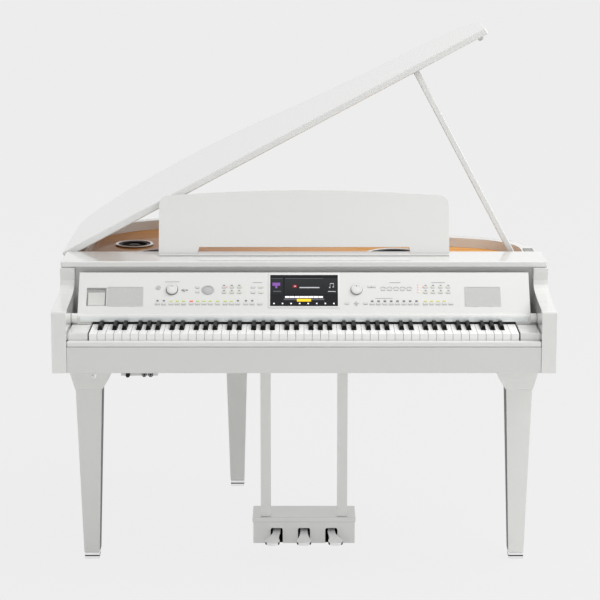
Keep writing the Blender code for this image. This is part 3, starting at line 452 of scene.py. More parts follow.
class Cabinet:
    """Every finish of the piano, each mixed once when it is first asked for."""

    recipes: dict[str, Finish] = {
        "lacquer": Lacquer("white_lacquer", (0.79, 0.79, 0.775), (0.765, 0.765, 0.75), 0.16),
        # The paler copy below is painted light for the fascia board in the top board's shade; the shaded copy
        # is painted shade for the front rail and the case's underside.
        "painted_light_lacquer": Lacquer("painted_light_lacquer", (0.93, 0.93, 0.92), (0.91, 0.91, 0.90), 0.22),
        "shaded_lacquer": Lacquer("shaded_lacquer", (0.70, 0.70, 0.69), (0.68, 0.68, 0.67), 0.22),
        # The white keys' flank factor is painted shade in the gaps between keys.
        "white_keys": KeyTop("white_key_tops", (0.95, 0.95, 0.94), 0.20, 0.2, 0.12),
        "knob": KeyTop("knob_faces", (0.82, 0.82, 0.81), 0.25, 0.3),
        "black_keys": KeyTop("black_key_tops", (0.004, 0.004, 0.004), 0.36, 0.10),
        "chrome": Metal("polished_chrome", (0.93, 0.93, 0.94), 0.05, 0.75),
        # Near black chrome: painted shade for the pedals' flanks and undersides.
        "painted_shade_chrome": Metal("pedal_flank_shade", (0.03, 0.03, 0.03), 0.22, 0.5),
        "pedal_metal": Metal("pedal_metal", (0.98, 0.98, 0.98), 0.10, 0.95, 0.02),
        # Pale bluish satin metal for the lip's face: painted reflection.
        "painted_reflection_strip": Metal("painted_reflection_strip", (0.92, 0.955, 0.95), 0.45, 0.95, 0.45),
        "steel": Metal("drawn_steel", (0.55, 0.55, 0.56), 0.24, 0.6, 1.0, (1.0, 20.0, 1.0)),
        "foot_metal": FootMetal("foot_cap_metal", (0.90, 0.90, 0.90)),
        "spruce": Timber("stained_spruce", (0.90, 0.46, 0.12), (0.55, 0.21, 0.03)),
        "grey": Moulding("grey_moulding", (0.40, 0.40, 0.39)),
        "pale_grey": Moulding("pale_moulding", (0.66, 0.66, 0.65), 0.4),
        "cap": Moulding("button_caps", (0.74, 0.74, 0.73), 0.38, 900.0, 0.1),
        "flap": Moulding("bay_flap_moulding", (0.72, 0.73, 0.70), 0.4),
        "bay": Moulding("bay_shade", (0.50, 0.50, 0.49), 0.6),
        "button": Moulding("grey_button_caps", (0.58, 0.58, 0.58), 0.38, 900.0, 0.1),
        "seam": Moulding("seam_shadow", (0.42, 0.42, 0.42), 0.6),
        "print": Moulding("printed_marks", (0.20, 0.20, 0.20), 0.5),
        "dark": Moulding("dark_moulding", (0.020, 0.020, 0.022), 0.42),
        # Dark strips on the front legs' inner sides: painted shade.
        "painted_shade_strip": Moulding("painted_leg_shade", (0.13, 0.13, 0.13), 0.45),
        "rubber": Moulding("rubber_pad", (0.36, 0.36, 0.35), 0.7, 500.0, 0.3),
        "felt": Moulding("black_felt", (0.018, 0.018, 0.018), 0.92, 1400.0, 0.9),
        "cone": Moulding("speaker_cone", (0.035, 0.035, 0.037), 0.65, 500.0, 0.6),
        "grille": Perforated("punched_grille", (0.66, 0.66, 0.65), (0.36, 0.36, 0.36)),
        "glass": DarkGlass("dark_glass", (0.012, 0.012, 0.014), (0.016, 0.017, 0.019)),
        "circuit": Circuit("circuit_mask", (0.02, 0.13, 0.06), (0.10, 0.32, 0.14)),
        "lamp_green": Glow("lamp_green", (0.50, 0.60, 0.10), 0.35),
        "lamp_red": Glow("lamp_red", (0.80, 0.05, 0.03), 0.5),
        "lamp_yellow": Glow("lamp_yellow", (0.60, 0.58, 0.10), 0.35),
        "screen_tile": Glow("screen_tile", (0.010, 0.011, 0.012), 0.3, 0.8),
        "screen_bar": Glow("screen_bar", (0.10, 0.10, 0.11), 0.4),
        "screen_red": Glow("screen_red", (0.42, 0.02, 0.03), 0.3),
        "screen_white": Glow("screen_white", (0.85, 0.85, 0.85), 0.7),
        "screen_grey": Glow("screen_grey", (0.40, 0.40, 0.42), 0.6),
        "screen_yellow": Glow("screen_yellow", (0.88, 0.56, 0.03), 0.6),
        "screen_violet": Glow("screen_violet", (0.22, 0.09, 0.36), 0.4),
    }
    mixed: dict[str, bpy.types.Material] = {}

    @classmethod
    def take(cls, finish: str) -> bpy.types.Material:
        """Gives a finish by its name."""
        if finish not in cls.mixed:
            cls.mixed[finish] = cls.recipes[finish].mix()
        return cls.mixed[finish]


class Bench:
    """Modelling by hand: each primitive is only the start of a piece."""

    @staticmethod
    def clear() -> None:
        """Deselects everything."""
        bpy.ops.object.select_all(action="DESELECT")

    @staticmethod
    def hold(*pieces: Piece) -> None:
        """Selects just these pieces and makes the first one active."""
        Bench.clear()
        for piece in pieces:
            piece.select_set(True)
        bpy.context.view_layer.objects.active = pieces[0]

    @staticmethod
    def top(face: bpy.types.MeshPolygon) -> bool:
        """Says whether a face looks up."""
        return face.normal.z > 0.9

    @staticmethod
    def pick(piece: Piece, wanted: Callable[[bpy.types.MeshPolygon], bool] = lambda face: True) -> None:
        """Goes into edit mode with some faces selected.

        Args:
            piece: the piece to work on.
            wanted: says whether a face is selected.
        """
        Bench.hold(piece)
        bpy.ops.object.mode_set(mode="EDIT")
        bpy.ops.mesh.select_mode(type="FACE")
        bpy.ops.mesh.select_all(action="DESELECT")
        bpy.ops.object.mode_set(mode="OBJECT")
        for face in piece.data.polygons:
            face.select = wanted(face)
        bpy.ops.object.mode_set(mode="EDIT")

    @staticmethod
    def done() -> None:
        """Leaves edit mode."""
        bpy.ops.object.mode_set(mode="OBJECT")

    @staticmethod
    def named(name: str) -> Piece:
        """Names the primitive that was just added, and gives it."""
        piece = bpy.context.object
        piece.name = piece.data.name = name
        return piece

    @staticmethod
    def block(name: str, low: Spot, high: Spot, edge: float, rounds: int = 2) -> Piece:
        """A block with rounded edges.

        Args:
            name: the piece's name.
            low: its lowest corner.
            high: its highest corner.
            edge: the radius of its edges.
            rounds: segments round an edge.

        Returns:
            The block, with its place and size in its mesh.
        """
        low_corner, high_corner = Vector(low), Vector(high)
        size = high_corner - low_corner
        Bench.clear()
        bpy.ops.mesh.primitive_cube_add(size=1.0, location=(low_corner + high_corner) / 2, scale=size)
        piece = Bench.named(name)
        bpy.ops.object.transform_apply(location=True, rotation=True, scale=True)
        Bench.pick(piece)
        bpy.ops.mesh.bevel(offset=min(edge, 0.42 * min(size)), segments=rounds, affect="EDGES")
        Bench.done()
        return piece

    @staticmethod
    def slab(name: str, middle: Flat, half: Flat, heights: Flat, edge: float, rounds: int = 2) -> Piece:
        """A block about a point of the drawing plane.

        Args:
            name: the piece's name.
            middle: the point that it lies about.
            half: half its width and half its length.
            heights: its underside's height and its top's.
            edge: the radius of its edges.
            rounds: segments round an edge.

        Returns:
            The block.
        """
        (across, up), (wide, tall) = middle, half
        return Bench.block(name, (across - wide, up - tall, heights[0]),
                           (across + wide, up + tall, heights[1]), edge, rounds)

    @staticmethod
    def disc(name: str, place: Spot, radius: float, height: float, edge: float, sides: int,
             crown: float, turn: Spot = (0.0, 0.0, 0.0)) -> Piece:
        """A round cap that stands on a place.

        Args:
            name: the piece's name.
            place: the middle of its underside.
            radius: its radius.
            height: its height.
            edge: the radius of its edges.
            sides: how many sides stand for the round.
            crown: how far the middle of its top rises, or sinks if below nought.
            turn: its turn about the three axes.

        Returns:
            The cap, with its place in its mesh.
        """
        Bench.clear()
        bpy.ops.mesh.primitive_cylinder_add(vertices=sides, radius=radius, depth=height)
        piece = Bench.named(name)
        Bench.pick(piece, lambda face: abs(face.normal.z) > 0.9)
        bpy.ops.mesh.bevel(offset=edge, segments=2, affect="EDGES")
        Bench.done()
        Bench.pick(piece, lambda face: Bench.top(face) and face.center.z > height * 0.4)
        for border, share in ((0.18, 0.7), (0.30, 0.3)):  # two insets, by radius and by crown
            bpy.ops.mesh.inset(thickness=radius * border)
            bpy.ops.transform.translate(value=(0.0, 0.0, crown * share))
        Bench.done()
        piece.data.transform(Matrix.Translation((0.0, 0.0, height / 2)))
        piece.rotation_euler = turn
        piece.location = place
        bpy.ops.object.transform_apply(location=True, rotation=True, scale=True)
        return piece

    @staticmethod
    def ring(name: str, place: Spot, radius: float, wire: float, turn: Spot = (0.0, 0.0, 0.0),
             flat: float = 1.0, sides: int = 32) -> Piece:
        """A ring of wire.

        Args:
            name: the piece's name.
            place: its middle.
            radius: the ring's radius, to the wire's middle.
            wire: the wire's own radius.
            turn: its turn about the three axes.
            flat: a factor on its height.
            sides: how many sides stand for the round.

        Returns:
            The ring, with its place in its mesh.
        """
        Bench.clear()
        bpy.ops.mesh.primitive_torus_add(major_radius=radius, minor_radius=wire, major_segments=sides,
                                         minor_segments=8, location=place, rotation=turn)
        piece = Bench.named(name)
        bpy.ops.object.transform_apply(location=False, rotation=False, scale=True)
        Bench.pick(piece)
        bpy.ops.transform.resize(value=(1.0, 1.0, flat), center_override=place)
        Bench.done()
        bpy.ops.object.transform_apply(location=True, rotation=True, scale=True)
        return piece

    @staticmethod
    def rod(name: str, route: list[Spot], radius: float) -> Piece:
        """A bent round wire.

        Args:
            name: the piece's name.
            route: the points that it passes through.
            radius: the wire's radius.

        Returns:
            The wire, as a closed mesh.
        """
        curve = bpy.data.curves.new(name, "CURVE")
        curve.dimensions = "3D"
        curve.bevel_depth = radius
        curve.bevel_resolution = 3
        curve.use_fill_caps = True
        curve.resolution_u = 8
        spline = curve.splines.new("BEZIER")
        spline.bezier_points.add(len(route) - 1)
        for knot, point in zip(spline.bezier_points, route):
            knot.co = point
            knot.handle_left_type = knot.handle_right_type = "AUTO"
        piece = bpy.data.objects.new(name, curve)
        bpy.context.scene.collection.objects.link(piece)
        Bench.hold(piece)
        bpy.ops.object.convert(target="MESH")
        return bpy.context.object

    @staticmethod
    def likeness(node: str, name: str) -> Piece:
        """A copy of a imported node, to be refined and put in its place.

        Args:
            node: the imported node's name.
            name: the copy's name.

        Returns:
            The copy, with its points and flat faces merged.
        """
        piece = bpy.data.objects.new(name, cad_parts[node].data.copy())
        bpy.context.scene.collection.objects.link(piece)
        Bench.pick(piece)
        bpy.ops.mesh.remove_doubles(threshold=0.00002)
        bpy.ops.mesh.dissolve_limited(angle_limit=math.radians(0.5))
        Bench.done()
        return piece

    @staticmethod
    def join(name: str, pieces: list[Piece]) -> Piece:
        """Makes one piece of several.

        Args:
            name: the joined piece's name.
            pieces: what it is made of.

        Returns:
            The joined piece.
        """
        Bench.hold(*pieces)
        if len(pieces) > 1:
            bpy.ops.object.join()
        return Bench.named(name)

    @staticmethod
    def repeat(first: Piece, spots: Iterable[Flat]) -> Piece:
        """Copies a piece about the drawing plane, and makes one piece of the copies.

        Args:
            first: the piece to copy, drawn at the origin, which is cleared away.
            spots: each copy's spot.

        Returns:
            The copies as one piece, under the first one's name.
        """
        name, made = first.name, []
        for across, up in spots:
            twin = first.copy()
            twin.data = first.data.copy()
            bpy.context.scene.collection.objects.link(twin)
            twin.data.transform(Matrix.Translation((across, up, 0.0)))
            made.append(twin)
        bpy.data.objects.remove(first, do_unlink=True)
        return Bench.join(name, made)

    @staticmethod
    def apply(piece: Piece, kind: str, **settings: object) -> None:
        """Adds a modifier and applies it.

        Args:
            piece: the piece.
            kind: the modifier's type.
            settings: its settings.
        """
        Bench.hold(piece)
        modifier = piece.modifiers.new(kind.lower(), kind)
        for key, value in settings.items():
            setattr(modifier, key, value)
        bpy.ops.object.modifier_apply(modifier=modifier.name)

    @staticmethod
    def soften(piece: Piece, width: float, angle: float, rounds: int = 2) -> None:
        """Rounds the edges that turn by more than an angle, in degrees."""
        Bench.apply(piece, "BEVEL", width=width, segments=rounds, limit_method="ANGLE",
                    angle_limit=math.radians(angle))

    @staticmethod
    def cut(piece: Piece, tool: Piece) -> None:
        """Cuts a tool's shape out of a piece and clears the tool away."""
        Bench.apply(piece, "BOOLEAN", operation="DIFFERENCE", solver="EXACT", object=tool)
        bpy.data.objects.remove(tool, do_unlink=True)

    @staticmethod
    def dish(piece: Piece, border: float, depth: float) -> None:
        """Insets a piece's flat top and sinks its middle.

        Args:
            piece: the piece.
            border: how wide a rim stays.
            depth: how far the middle sinks.
        """
        Bench.pick(piece, Bench.top)
        bpy.ops.mesh.inset(thickness=border)
        if depth:
            bpy.ops.transform.translate(value=(0.0, 0.0, -depth))
        Bench.done()

    @staticmethod
    def seat(piece: Piece, finish: str, berth: Berth, angle: float = 32.0) -> Piece:
        """Carries a piece to its place, smooths and paints it, and lets it ride on a body.

        Args:
            piece: the finished shape.
            finish: the finish's name in the cabinet.
            berth: its slot, its body and the frame that it was drawn in.
            angle: edges sharper than this stay sharp, in degrees.

        Returns:
            The piece.
        """
        if berth.carry is not None:
            piece.data.transform(berth.carry)
        Bench.hold(piece)
        bpy.ops.object.shade_smooth_by_angle(angle=math.radians(angle))
        piece.data.materials.clear()
        piece.data.materials.append(Cabinet.take(finish))
        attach(piece, berth.body)
        LOG.info("seated %s on %s", piece.name, berth.body)
        return piece


class Work:
    """A sub-assembly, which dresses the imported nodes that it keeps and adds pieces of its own."""

    kept: ClassVar[Kept] = {}

    def dress(self) -> None:
        """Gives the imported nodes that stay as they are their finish."""
        for finish, nodes in self.kept.items():
            for name in nodes:
                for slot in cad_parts[name].material_slots:
                    slot.material = Cabinet.take(finish)
                LOG.info("dressed %s in %s", name, finish)

    def build(self) -> None:
        """Adds the sub-assembly's own pieces."""
        raise NotImplementedError


@dataclass
class CaseWork(Work):
    """The case: its boards and rim, the speakers with their trims and the pad under the lid."""

    kept: ClassVar[Kept] = {
        # Paler and shaded copies of the lacquer: painted light on the fascia board, painted shade on the
        # front rail and the case bottom.
        "painted_light_lacquer": ("fascia_board",),
        "lacquer": ("arm_left", "arm_right", "key_slip", "top_board", "key_block_left", "key_block_right"),
        "shaded_lacquer": ("front_rail", "case_bottom"),
        "spruce": ("soundboard",),
        "cone": ("speaker_tail", "speaker_left", "speaker_right"),
        "steel": ("key_frame",),
        "circuit": ("sound_circuit",),
    }
    pad_low: Spot = (0.679, 0.436, 0.9023)
    pad_high: Spot = (0.709, 0.640, 0.9045)
    trim_height: float = 0.8753
    cap_foot: float = 0.8615
    speakers: dict[str, Spot] = field(default_factory=lambda: {
        "speaker_tail": (-0.545, 0.876, 0.052),
        "speaker_left": (-0.440, 0.690, 0.085),
        "speaker_right": (0.284, 0.700, 0.085),
    })

    def rim(self) -> None:
        """The rim's curved wall, smooth all round, with softened top and bottom edges."""
        wall = Bench.likeness("rim", "curved_rim")
        Bench.soften(wall, 0.0015, 60.0)
        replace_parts(Bench.seat(wall, "lacquer", Berth(Slot.LACQUER, carry=None)), "rim")

    def speaker_trims(self) -> None:
        """A bright ring, a surround and a dust cap on each speaker."""
        for name, (across, back, radius) in self.speakers.items():
            bright = Bench.ring(f"{name}_trim", (across, back, self.trim_height), radius=radius + 0.0045,
                                wire=0.0052, flat=0.5, sides=56)
            Bench.seat(bright, "lacquer", Berth(Slot.GREY))
            surround = Bench.ring(f"{name}_surround", (across, back, self.trim_height - 0.002),
                                  radius=radius * 0.86, wire=radius * 0.07, flat=0.45)
            Bench.seat(surround, "dark", Berth(Slot.DARK))
            cap = Bench.disc(f"{name}_cap", (across, back, self.cap_foot), radius=radius * 0.30,
                             height=0.006, edge=0.001, sides=28, crown=0.006)
            Bench.seat(cap, "dark", Berth(Slot.DARK))

    def build(self) -> None:
        """Builds the rim, the trims and the pad that the closed lid lies on."""
        self.rim()
        self.speaker_trims()
        pad = Bench.block("lid_rest_pad", self.pad_low, self.pad_high, 0.0009)
        Bench.dish(pad, 0.003, 0.0006)
        Bench.seat(pad, "rubber", Berth(Slot.DARK))


@dataclass
class LidWork(Work):
    """The lid with its bumper, its prop and prop cup, and its hinges with their screws."""

    kept: ClassVar[Kept] = {
        "lacquer": ("lid", "lid_prop"),
        "steel": ("lid_hinge_1", "lid_hinge_2", "prop_bracket"),
    }
    bumper: Spot = (1.403, 0.459, -0.0003)
    cup: Flat = (1.1899, 0.468)
    cup_half: float = 0.018
    well_half: float = 0.0098
    hinges: Flat = (0.520, 0.860)
    screw_pitch: float = 0.026
    leaf_in: float = 0.014
    leaf_top: float = 0.9048

    def hinge_screws(self) -> None:
        """Screws through the hinges' leaves."""
        for number, back in enumerate(self.hinges, 1):
            heads = [Bench.disc(f"hinge_screw_{number}",
                                (-HALF_WIDTH + self.leaf_in, back + step * self.screw_pitch, self.leaf_top),
                                radius=0.0032, height=0.0012, edge=0.0004, sides=14, crown=-0.0004)
                     for step in (-1, 0, 1)]
            Bench.seat(Bench.join(f"hinge_screws_{number}", heads), "chrome", Berth(Slot.CHROME))

    def build(self) -> None:
        """Builds the soft bumper under the free corner, the plate at the prop's tip, and the screws."""
        stud = Bench.disc("lid_bumper", self.bumper, radius=0.008, height=0.0085, edge=0.002, sides=20,
                          crown=0.001, turn=(math.pi, 0.0, 0.0))
        Bench.seat(stud, "pale_grey", Berth(Slot.GREY, "lid_body", LID))
        plate = Bench.slab("prop_cup", self.cup, (self.cup_half,) * 2, (-0.0022, -SKIN), 0.0008)
        Bench.cut(plate, Bench.slab("well", self.cup, (self.well_half,) * 2, (-THROUGH, THROUGH), 0.001))
        Bench.seat(plate, "steel", Berth(Slot.STEEL, "lid_body", LID))
        self.hinge_screws()


@dataclass
class KeyboardWork(Work):
    """The keys, the felt over them, the cover's lip and the strips that close the keyboard's ends."""

    kept: ClassVar[Kept] = {
        "white_keys": ("white_keys_bass", "white_keys_treble", *(f"white_key_{n}" for n in range(1, 6))),
        "black_keys": ("black_keys_bass", "black_keys_treble", *(f"black_key_{n}" for n in range(1, 4))),
    }
    felt_reach: float = KEYS_HALF + 0.0010
    lip_reach: float = 0.6475
    lip_low: Flat = (0.1505, 0.7702)
    lip_high: Flat = (0.1618, 0.7739)
    end_low: Flat = (0.0225, 0.7520)

    def build(self) -> None:
        """Lays the felt and the lip's pale face, a painted reflection, and closes both ends."""
        felt, lip = Berth(Slot.DARK, "cover_body"), Berth(Slot.LACQUER, "cover_body")
        reach = self.felt_reach
        strips = [Bench.block("key_felt", (-reach, 0.1500, 0.7702), (reach, *self.lip_high), 0.0008),
                  Bench.block("felt_apron", (-reach, 0.1497, 0.7702), (reach, 0.1506, 0.7768), 0.0003, 1)]
        Bench.seat(Bench.join("key_felt", strips), "felt", felt)
        # Pale bluish strip on the lip's face: painted reflection and painted light in the shaded recess above
        # the keys.
        face = Bench.block("lip_face", (-self.lip_reach, 0.1498, 0.7771), (self.lip_reach, 0.1512, 0.7915),
                           0.0004)
        Bench.seat(face, "painted_reflection_strip", lip)
        for side, sign in SIDES:
            for name, ends, low, high, edge, rounds, finish, berth in (
                    # The end slits are dark strips in the felt finish beside the end keys: painted shade in
                    # those gaps.
                    ("end_slit_shade", (KEYS_HALF + 0.0006, KEYS_HALF + 0.0024), self.end_low,
                     (0.1490, 0.7672), 0.0004, 1, "felt", Berth(Slot.DARK)),
                    ("lip_foot", (KEYS_HALF + 0.0035, BLOCKS_INNER - 0.0035), self.lip_low,
                     self.lip_high, 0.0006, 2, "lacquer", lip),
                    ("block_bead", (BLOCKS_INNER - 0.0029, BLOCKS_INNER - 0.0004), self.end_low,
                     (0.1490, 0.7680), 0.0006, 2, "lacquer", Berth(Slot.LACQUER))):
                near, far = sorted(sign * end for end in ends)
                strip = Bench.block(f"{name}_{side}", (near, *low), (far, *high), edge, rounds)
                Bench.seat(strip, finish, berth)


@dataclass
class PanelWork(Work):
    """The control panel on the key cover: screen, grilles, knobs, buttons and lamps.

    Spots are given across and up the panel's face; heights stand out of it.
    """

    kept: ClassVar[Kept] = {
        "lacquer": ("key_cover",),
        "glass": ("touch_screen",),
        "grille": ("grille_left", "grille_right"),
        "button": ("power_button",),
    }
    button: Spot = (0.0125, 0.0062, 0.0017)
    small: Spot = (0.0105, 0.0056, 0.0015)
    wide_lamp: Flat = (0.0095, 0.0032)
    dot_lamp: Flat = (0.0022, 0.0022)
    low_row: float = 0.0306
    rows: Flat = (0.0845, 0.0670)
    left_runs: tuple[tuple[float, int], ...] = (
        (-0.426, 2), (-0.3866, 3), (-0.3275, 4), (-0.2508, 1), (-0.229, 3), (-0.1688, 2), (-0.1279, 1))
    right_runs: tuple[tuple[float, int], ...] = ((0.1985, 8), (0.353, 4), (0.4275, 1))
    pitch: float = 0.0184
    block_places: tuple[float, ...] = (-0.2334, -0.2108, -0.189, -0.149, -0.1264)
    voice_start: float = 0.3543
    voice_pitch: float = 0.0221
    lamp_gap: float = 0.0085
    print_gap: float = 0.0062
    part_lamps: tuple[Flat, ...] = ((0.3322, 0.0916), (0.3322, 0.0833), (0.3322, 0.0756), (0.3322, 0.067),
                                    (0.3458, 0.0845))
    single_buttons: tuple[Flat, ...] = ((0.191, 0.086), (0.203, 0.086), (-0.3108, 0.084),
                                        (-0.3108, 0.069), (0.125, 0.0319), (0.1788, 0.0319))
    selector_start: float = 0.2305
    selector_pitch: float = 0.01905
    group_lines: tuple[Spot, ...] = ((-0.406, -0.364, 0.1015), (-0.150, -0.122, 0.0990),
                                     (0.250, 0.282, 0.0990), (0.208, 0.258, 0.0478), (0.372, 0.412, 0.0990))
    knob_up: float = 0.0765
    tempo_spot: Spot = (-0.2799, 0.0753, 0.0)
    tempo_oval: tuple[float, float, float, float] = (1.15, 0.92, 1.0, 1.0)
    slide: Flat = (-0.348, 0.075)
    cursor: Flat = (0.1529, 0.0319)
    grille: Flat = (0.5205, 0.0545)
    bay: tuple[float, float, float, float] = (-0.6330, -0.5760, 0.0240, 0.0830)
    bay_band: float = 0.0150
    bay_floor: float = -0.0077
    screen_middle: Flat = (0.0, 0.0735)

    @staticmethod
    def level(places: Iterable[float], up: float) -> list[Flat]:
        """Spots at places across, all at one height up the panel."""
        return [(across, up) for across in places]

    @staticmethod
    def moved(spots: Iterable[Flat], right: float, higher: float = 0.0) -> list[Flat]:
        """Spots moved across and up."""
        return [(across + right, up + higher) for across, up in spots]

    @property
    def selectors(self) -> list[Flat]:
        """The spots of the five selector buttons."""
        return self.level((self.selector_start + self.selector_pitch * step for step in range(5)),
                          self.knob_up)

    def caps(self, name: str, size: Spot, spots: list[Flat]) -> None:
        """A set of like button caps, each in a narrow grey seam.

        Args:
            name: the piece's name.
            size: a cap's width, height up the panel, and rise.
            spots: each cap's spot.
        """
        wide, tall, rise = size[0] / 2, size[1] / 2, size[2]
        cap = Bench.slab(name, (0.0, 0.0), (wide, tall), (SKIN, rise), rise * 0.45)
        Bench.dish(cap, tall * 0.32, rise * 0.12)
        Bench.seat(Bench.repeat(cap, spots), "cap", ON_PANEL)
        seam = Bench.block(f"{name}_seams", (-wide - 0.0006, -tall - 0.0008, 0.00025),
                           (wide + 0.0006, tall + 0.0004, 0.0005), 0.0001, 1)
        Bench.seat(Bench.repeat(seam, spots), "seam", ON_PANEL)

    def icons(self, name: str, spots: list[Flat], size: Flat) -> None:
        """Small dark printed wedges that mark what a button is for, with no lettering.

        Args:
            name: the piece's name.
            spots: each wedge's spot.
            size: a wedge's width and height.
        """
        wedge = Bench.slab(name, (0.0, 0.0), (size[0] / 2, size[1] / 2), (SKIN, 0.0006), 0.0001, 1)
        Bench.pick(wedge, lambda face: face.normal.y < -0.9)
        bpy.ops.transform.resize(value=(0.3, 1.0, 1.0), center_override=(0.0, 0.0, 0.0))
        Bench.done()
        Bench.seat(Bench.repeat(wedge, spots), "print", ON_PANEL)

    def lamps(self, name: str, finish: str, spots: list[Flat], size: Flat) -> None:
        """A set of small lit lamps in the panel's face.

        Args:
            name: the piece's name.
            finish: the finish that they glow in.
            spots: each lamp's spot.
            size: a lamp's width and height.
        """
        lamp = Bench.slab(name, (0.0, 0.0), (size[0] / 2, size[1] / 2), (SKIN, 0.0010), 0.0003)
        Bench.seat(Bench.repeat(lamp, spots), finish, ON_PANEL)

    def buttons(self) -> None:
        """The two long rows of buttons, the block groups, and their lamps and printed wedges."""
        left, right = ([start + step * self.pitch for start, count in runs for step in range(count)]
                       for runs in (self.left_runs, self.right_runs))
        block = [spot for up in self.rows for spot in self.level(self.block_places, up)]
        voices = [(self.voice_start + self.voice_pitch * step, up) for up in self.rows for step in range(4)]
        above = self.low_row + self.lamp_gap
        self.caps("buttons_low_left", self.button, self.level(left, self.low_row))
        self.caps("buttons_low_right", self.button, self.level(right, self.low_row))
        for name, finish, spots in (
                ("lamps_low_left", "lamp_green", self.level(left[2:5] + left[6:12], above)),
                ("lamps_low_right", "lamp_yellow", self.level(right[8:12], above)),
                ("lamps_start", "lamp_red", [(left[5], above)])):
            self.lamps(name, finish, spots, self.wide_lamp)
        self.icons("icons_low_left", self.level(left[:2] + left[12:15], above + 0.0015), (0.0062, 0.0046))
        self.icons("icons_low_right", self.level(right[:8], above), (0.0072, 0.0052))
        self.caps("buttons_upper_left", self.small, block)
        self.lamps("lamps_upper_left", "lamp_green", self.moved(block[1:], self.lamp_gap), self.dot_lamp)
        self.lamps("lamp_record", "lamp_red", self.moved(block[:1], self.lamp_gap), (0.0026, 0.0026))
        self.caps("buttons_upper_right", self.small, voices)
        self.lamps("lamps_upper_right", "lamp_yellow", self.moved(voices[1:], -self.lamp_gap), self.dot_lamp)
        self.lamps("lamps_part", "lamp_red", self.part_lamps, self.dot_lamp)
        self.caps("buttons_sound", self.small, self.single_buttons)
        self.caps("buttons_select", self.small, self.selectors)
        self.icons("icons_upper_right", self.moved(voices, 0.0005, self.print_gap), (0.0052, 0.0026))
        self.icons("icons_upper_left", self.moved(block[:3] + block[5:8], 0.0, self.print_gap),
                   (0.0060, 0.0026))

    def marks(self) -> None:
        """The arcs over the five selector buttons and the thin lines under the groups."""
        arcs = []
        for across, up in self.selectors:
            arc = Bench.ring("selector_arc", (across, up, 0.0005), radius=0.0088, wire=0.0005, flat=0.4)
            Bench.pick(arc, lambda face: face.center.y < up + 0.0035)
            bpy.ops.mesh.delete(type="FACE")
            bpy.ops.mesh.select_mode(type="EDGE")
            bpy.ops.mesh.select_all(action="DESELECT")
            bpy.ops.mesh.select_non_manifold()
            bpy.ops.mesh.edge_face_add()
            Bench.done()
            arcs.append(arc)
        Bench.seat(Bench.join("selector_arcs", arcs), "print", ON_PANEL)
        lines = [Bench.block("group_line", (start, up, SKIN), (end, up + 0.0009, 0.0006), 0.00012, 1)
                 for start, end, up in self.group_lines]
        Bench.seat(Bench.join("group_lines", lines), "print", ON_PANEL)

    def tempo_pad(self) -> None:
        """The oval pair of buttons beside the volume knob, the small slide and the cursor cross."""
        oval = Bench.disc("tempo_pad", (0.0, 0.0, SKIN), radius=0.015, height=0.0018, edge=0.0006,
                          sides=32, crown=-0.0005)
        oval.data.transform(Matrix.Translation(self.tempo_spot) @ Matrix.Diagonal(self.tempo_oval))
        Bench.seat(oval, "button", ON_PANEL)
        track = Bench.slab("slide_track", self.slide, (0.0095, 0.0015), (SKIN, 0.0009), 0.0002)
        Bench.seat(track, "print", ON_PANEL)
        grip = Bench.slab("slide_grip", (self.slide[0] - 0.0005, self.slide[1]), (0.0030, 0.0035),
                          (0.0012, 0.0030), 0.0006)
        Bench.seat(grip, "pale_grey", ON_PANEL)
        cross = [Bench.slab("cursor_key", self.cursor, (0.0070, 0.0022), (SKIN, 0.0014), 0.0005),
                 Bench.slab("cursor_key", self.cursor, (0.0022, 0.0070), (SKIN, 0.0015), 0.0005)]
        Bench.seat(Bench.join("cursor_keys", cross), "button", ON_PANEL)

    def knobs(self) -> None:
        """Turned faces and skirts for the volume knob and the data dial."""
        for node, body, across, ring in (("volume_knob", "volume_body", -0.385, "print"),
                                         ("data_dial", "dial_body", 0.1534, "grey")):
            berth = Berth(Slot.CHROME, body, PANEL)
            knob = Bench.disc(f"{node}_turned", (0.0, 0.0, SKIN), radius=0.0145, height=0.0067,
                              edge=0.0010, sides=40, crown=-0.0006)
            Bench.pick(knob, lambda face: abs(face.normal.z) < 0.1)
            bpy.ops.mesh.inset(thickness=0.0004, use_individual=True)
            bpy.ops.transform.resize(value=(0.985, 0.985, 1.0), center_override=(0.0, 0.0, 0.0))
            Bench.done()
            knob.data.transform(Matrix.Translation((across, self.knob_up, 0.0)))
            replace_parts(Bench.seat(knob, "knob", berth, 28.0), node)
            skirt = Bench.ring(f"{node}_skirt", (across, self.knob_up, 0.0006), radius=0.0168,
                               wire=0.0011, flat=0.5)
            Bench.seat(skirt, ring, Berth(Slot.CHROME, "cover_body", PANEL))
            mark = Bench.slab(f"{node}_mark", (across, self.knob_up + 0.00875), (0.0006, 0.00275),
                              (0.0066, 0.0069), 0.0001)
            Bench.seat(mark, "print", berth)

    def grille_frames(self) -> None:
        """A thin raised frame round each grille, with two small tabs at its foot."""
        for side, sign in SIDES:
            spot = middle, up = sign * self.grille[0], self.grille[1]
            plate = Bench.slab(f"grille_frame_{side}", spot, (0.0525, 0.0315), (SKIN, 0.0011), 0.0004)
            Bench.cut(plate, Bench.slab("window", spot, (0.0500, 0.0290), (-THROUGH, THROUGH), 0.0005))
            tabs = [Bench.slab("grille_tab", (middle + step, up - 0.03225), (0.004, 0.00125),
                               (SKIN, 0.0010), 0.0003) for step in (-0.022, 0.022)]
            Bench.seat(Bench.join(f"grille_frame_{side}", [plate, *tabs]), "pale_grey", ON_PANEL)

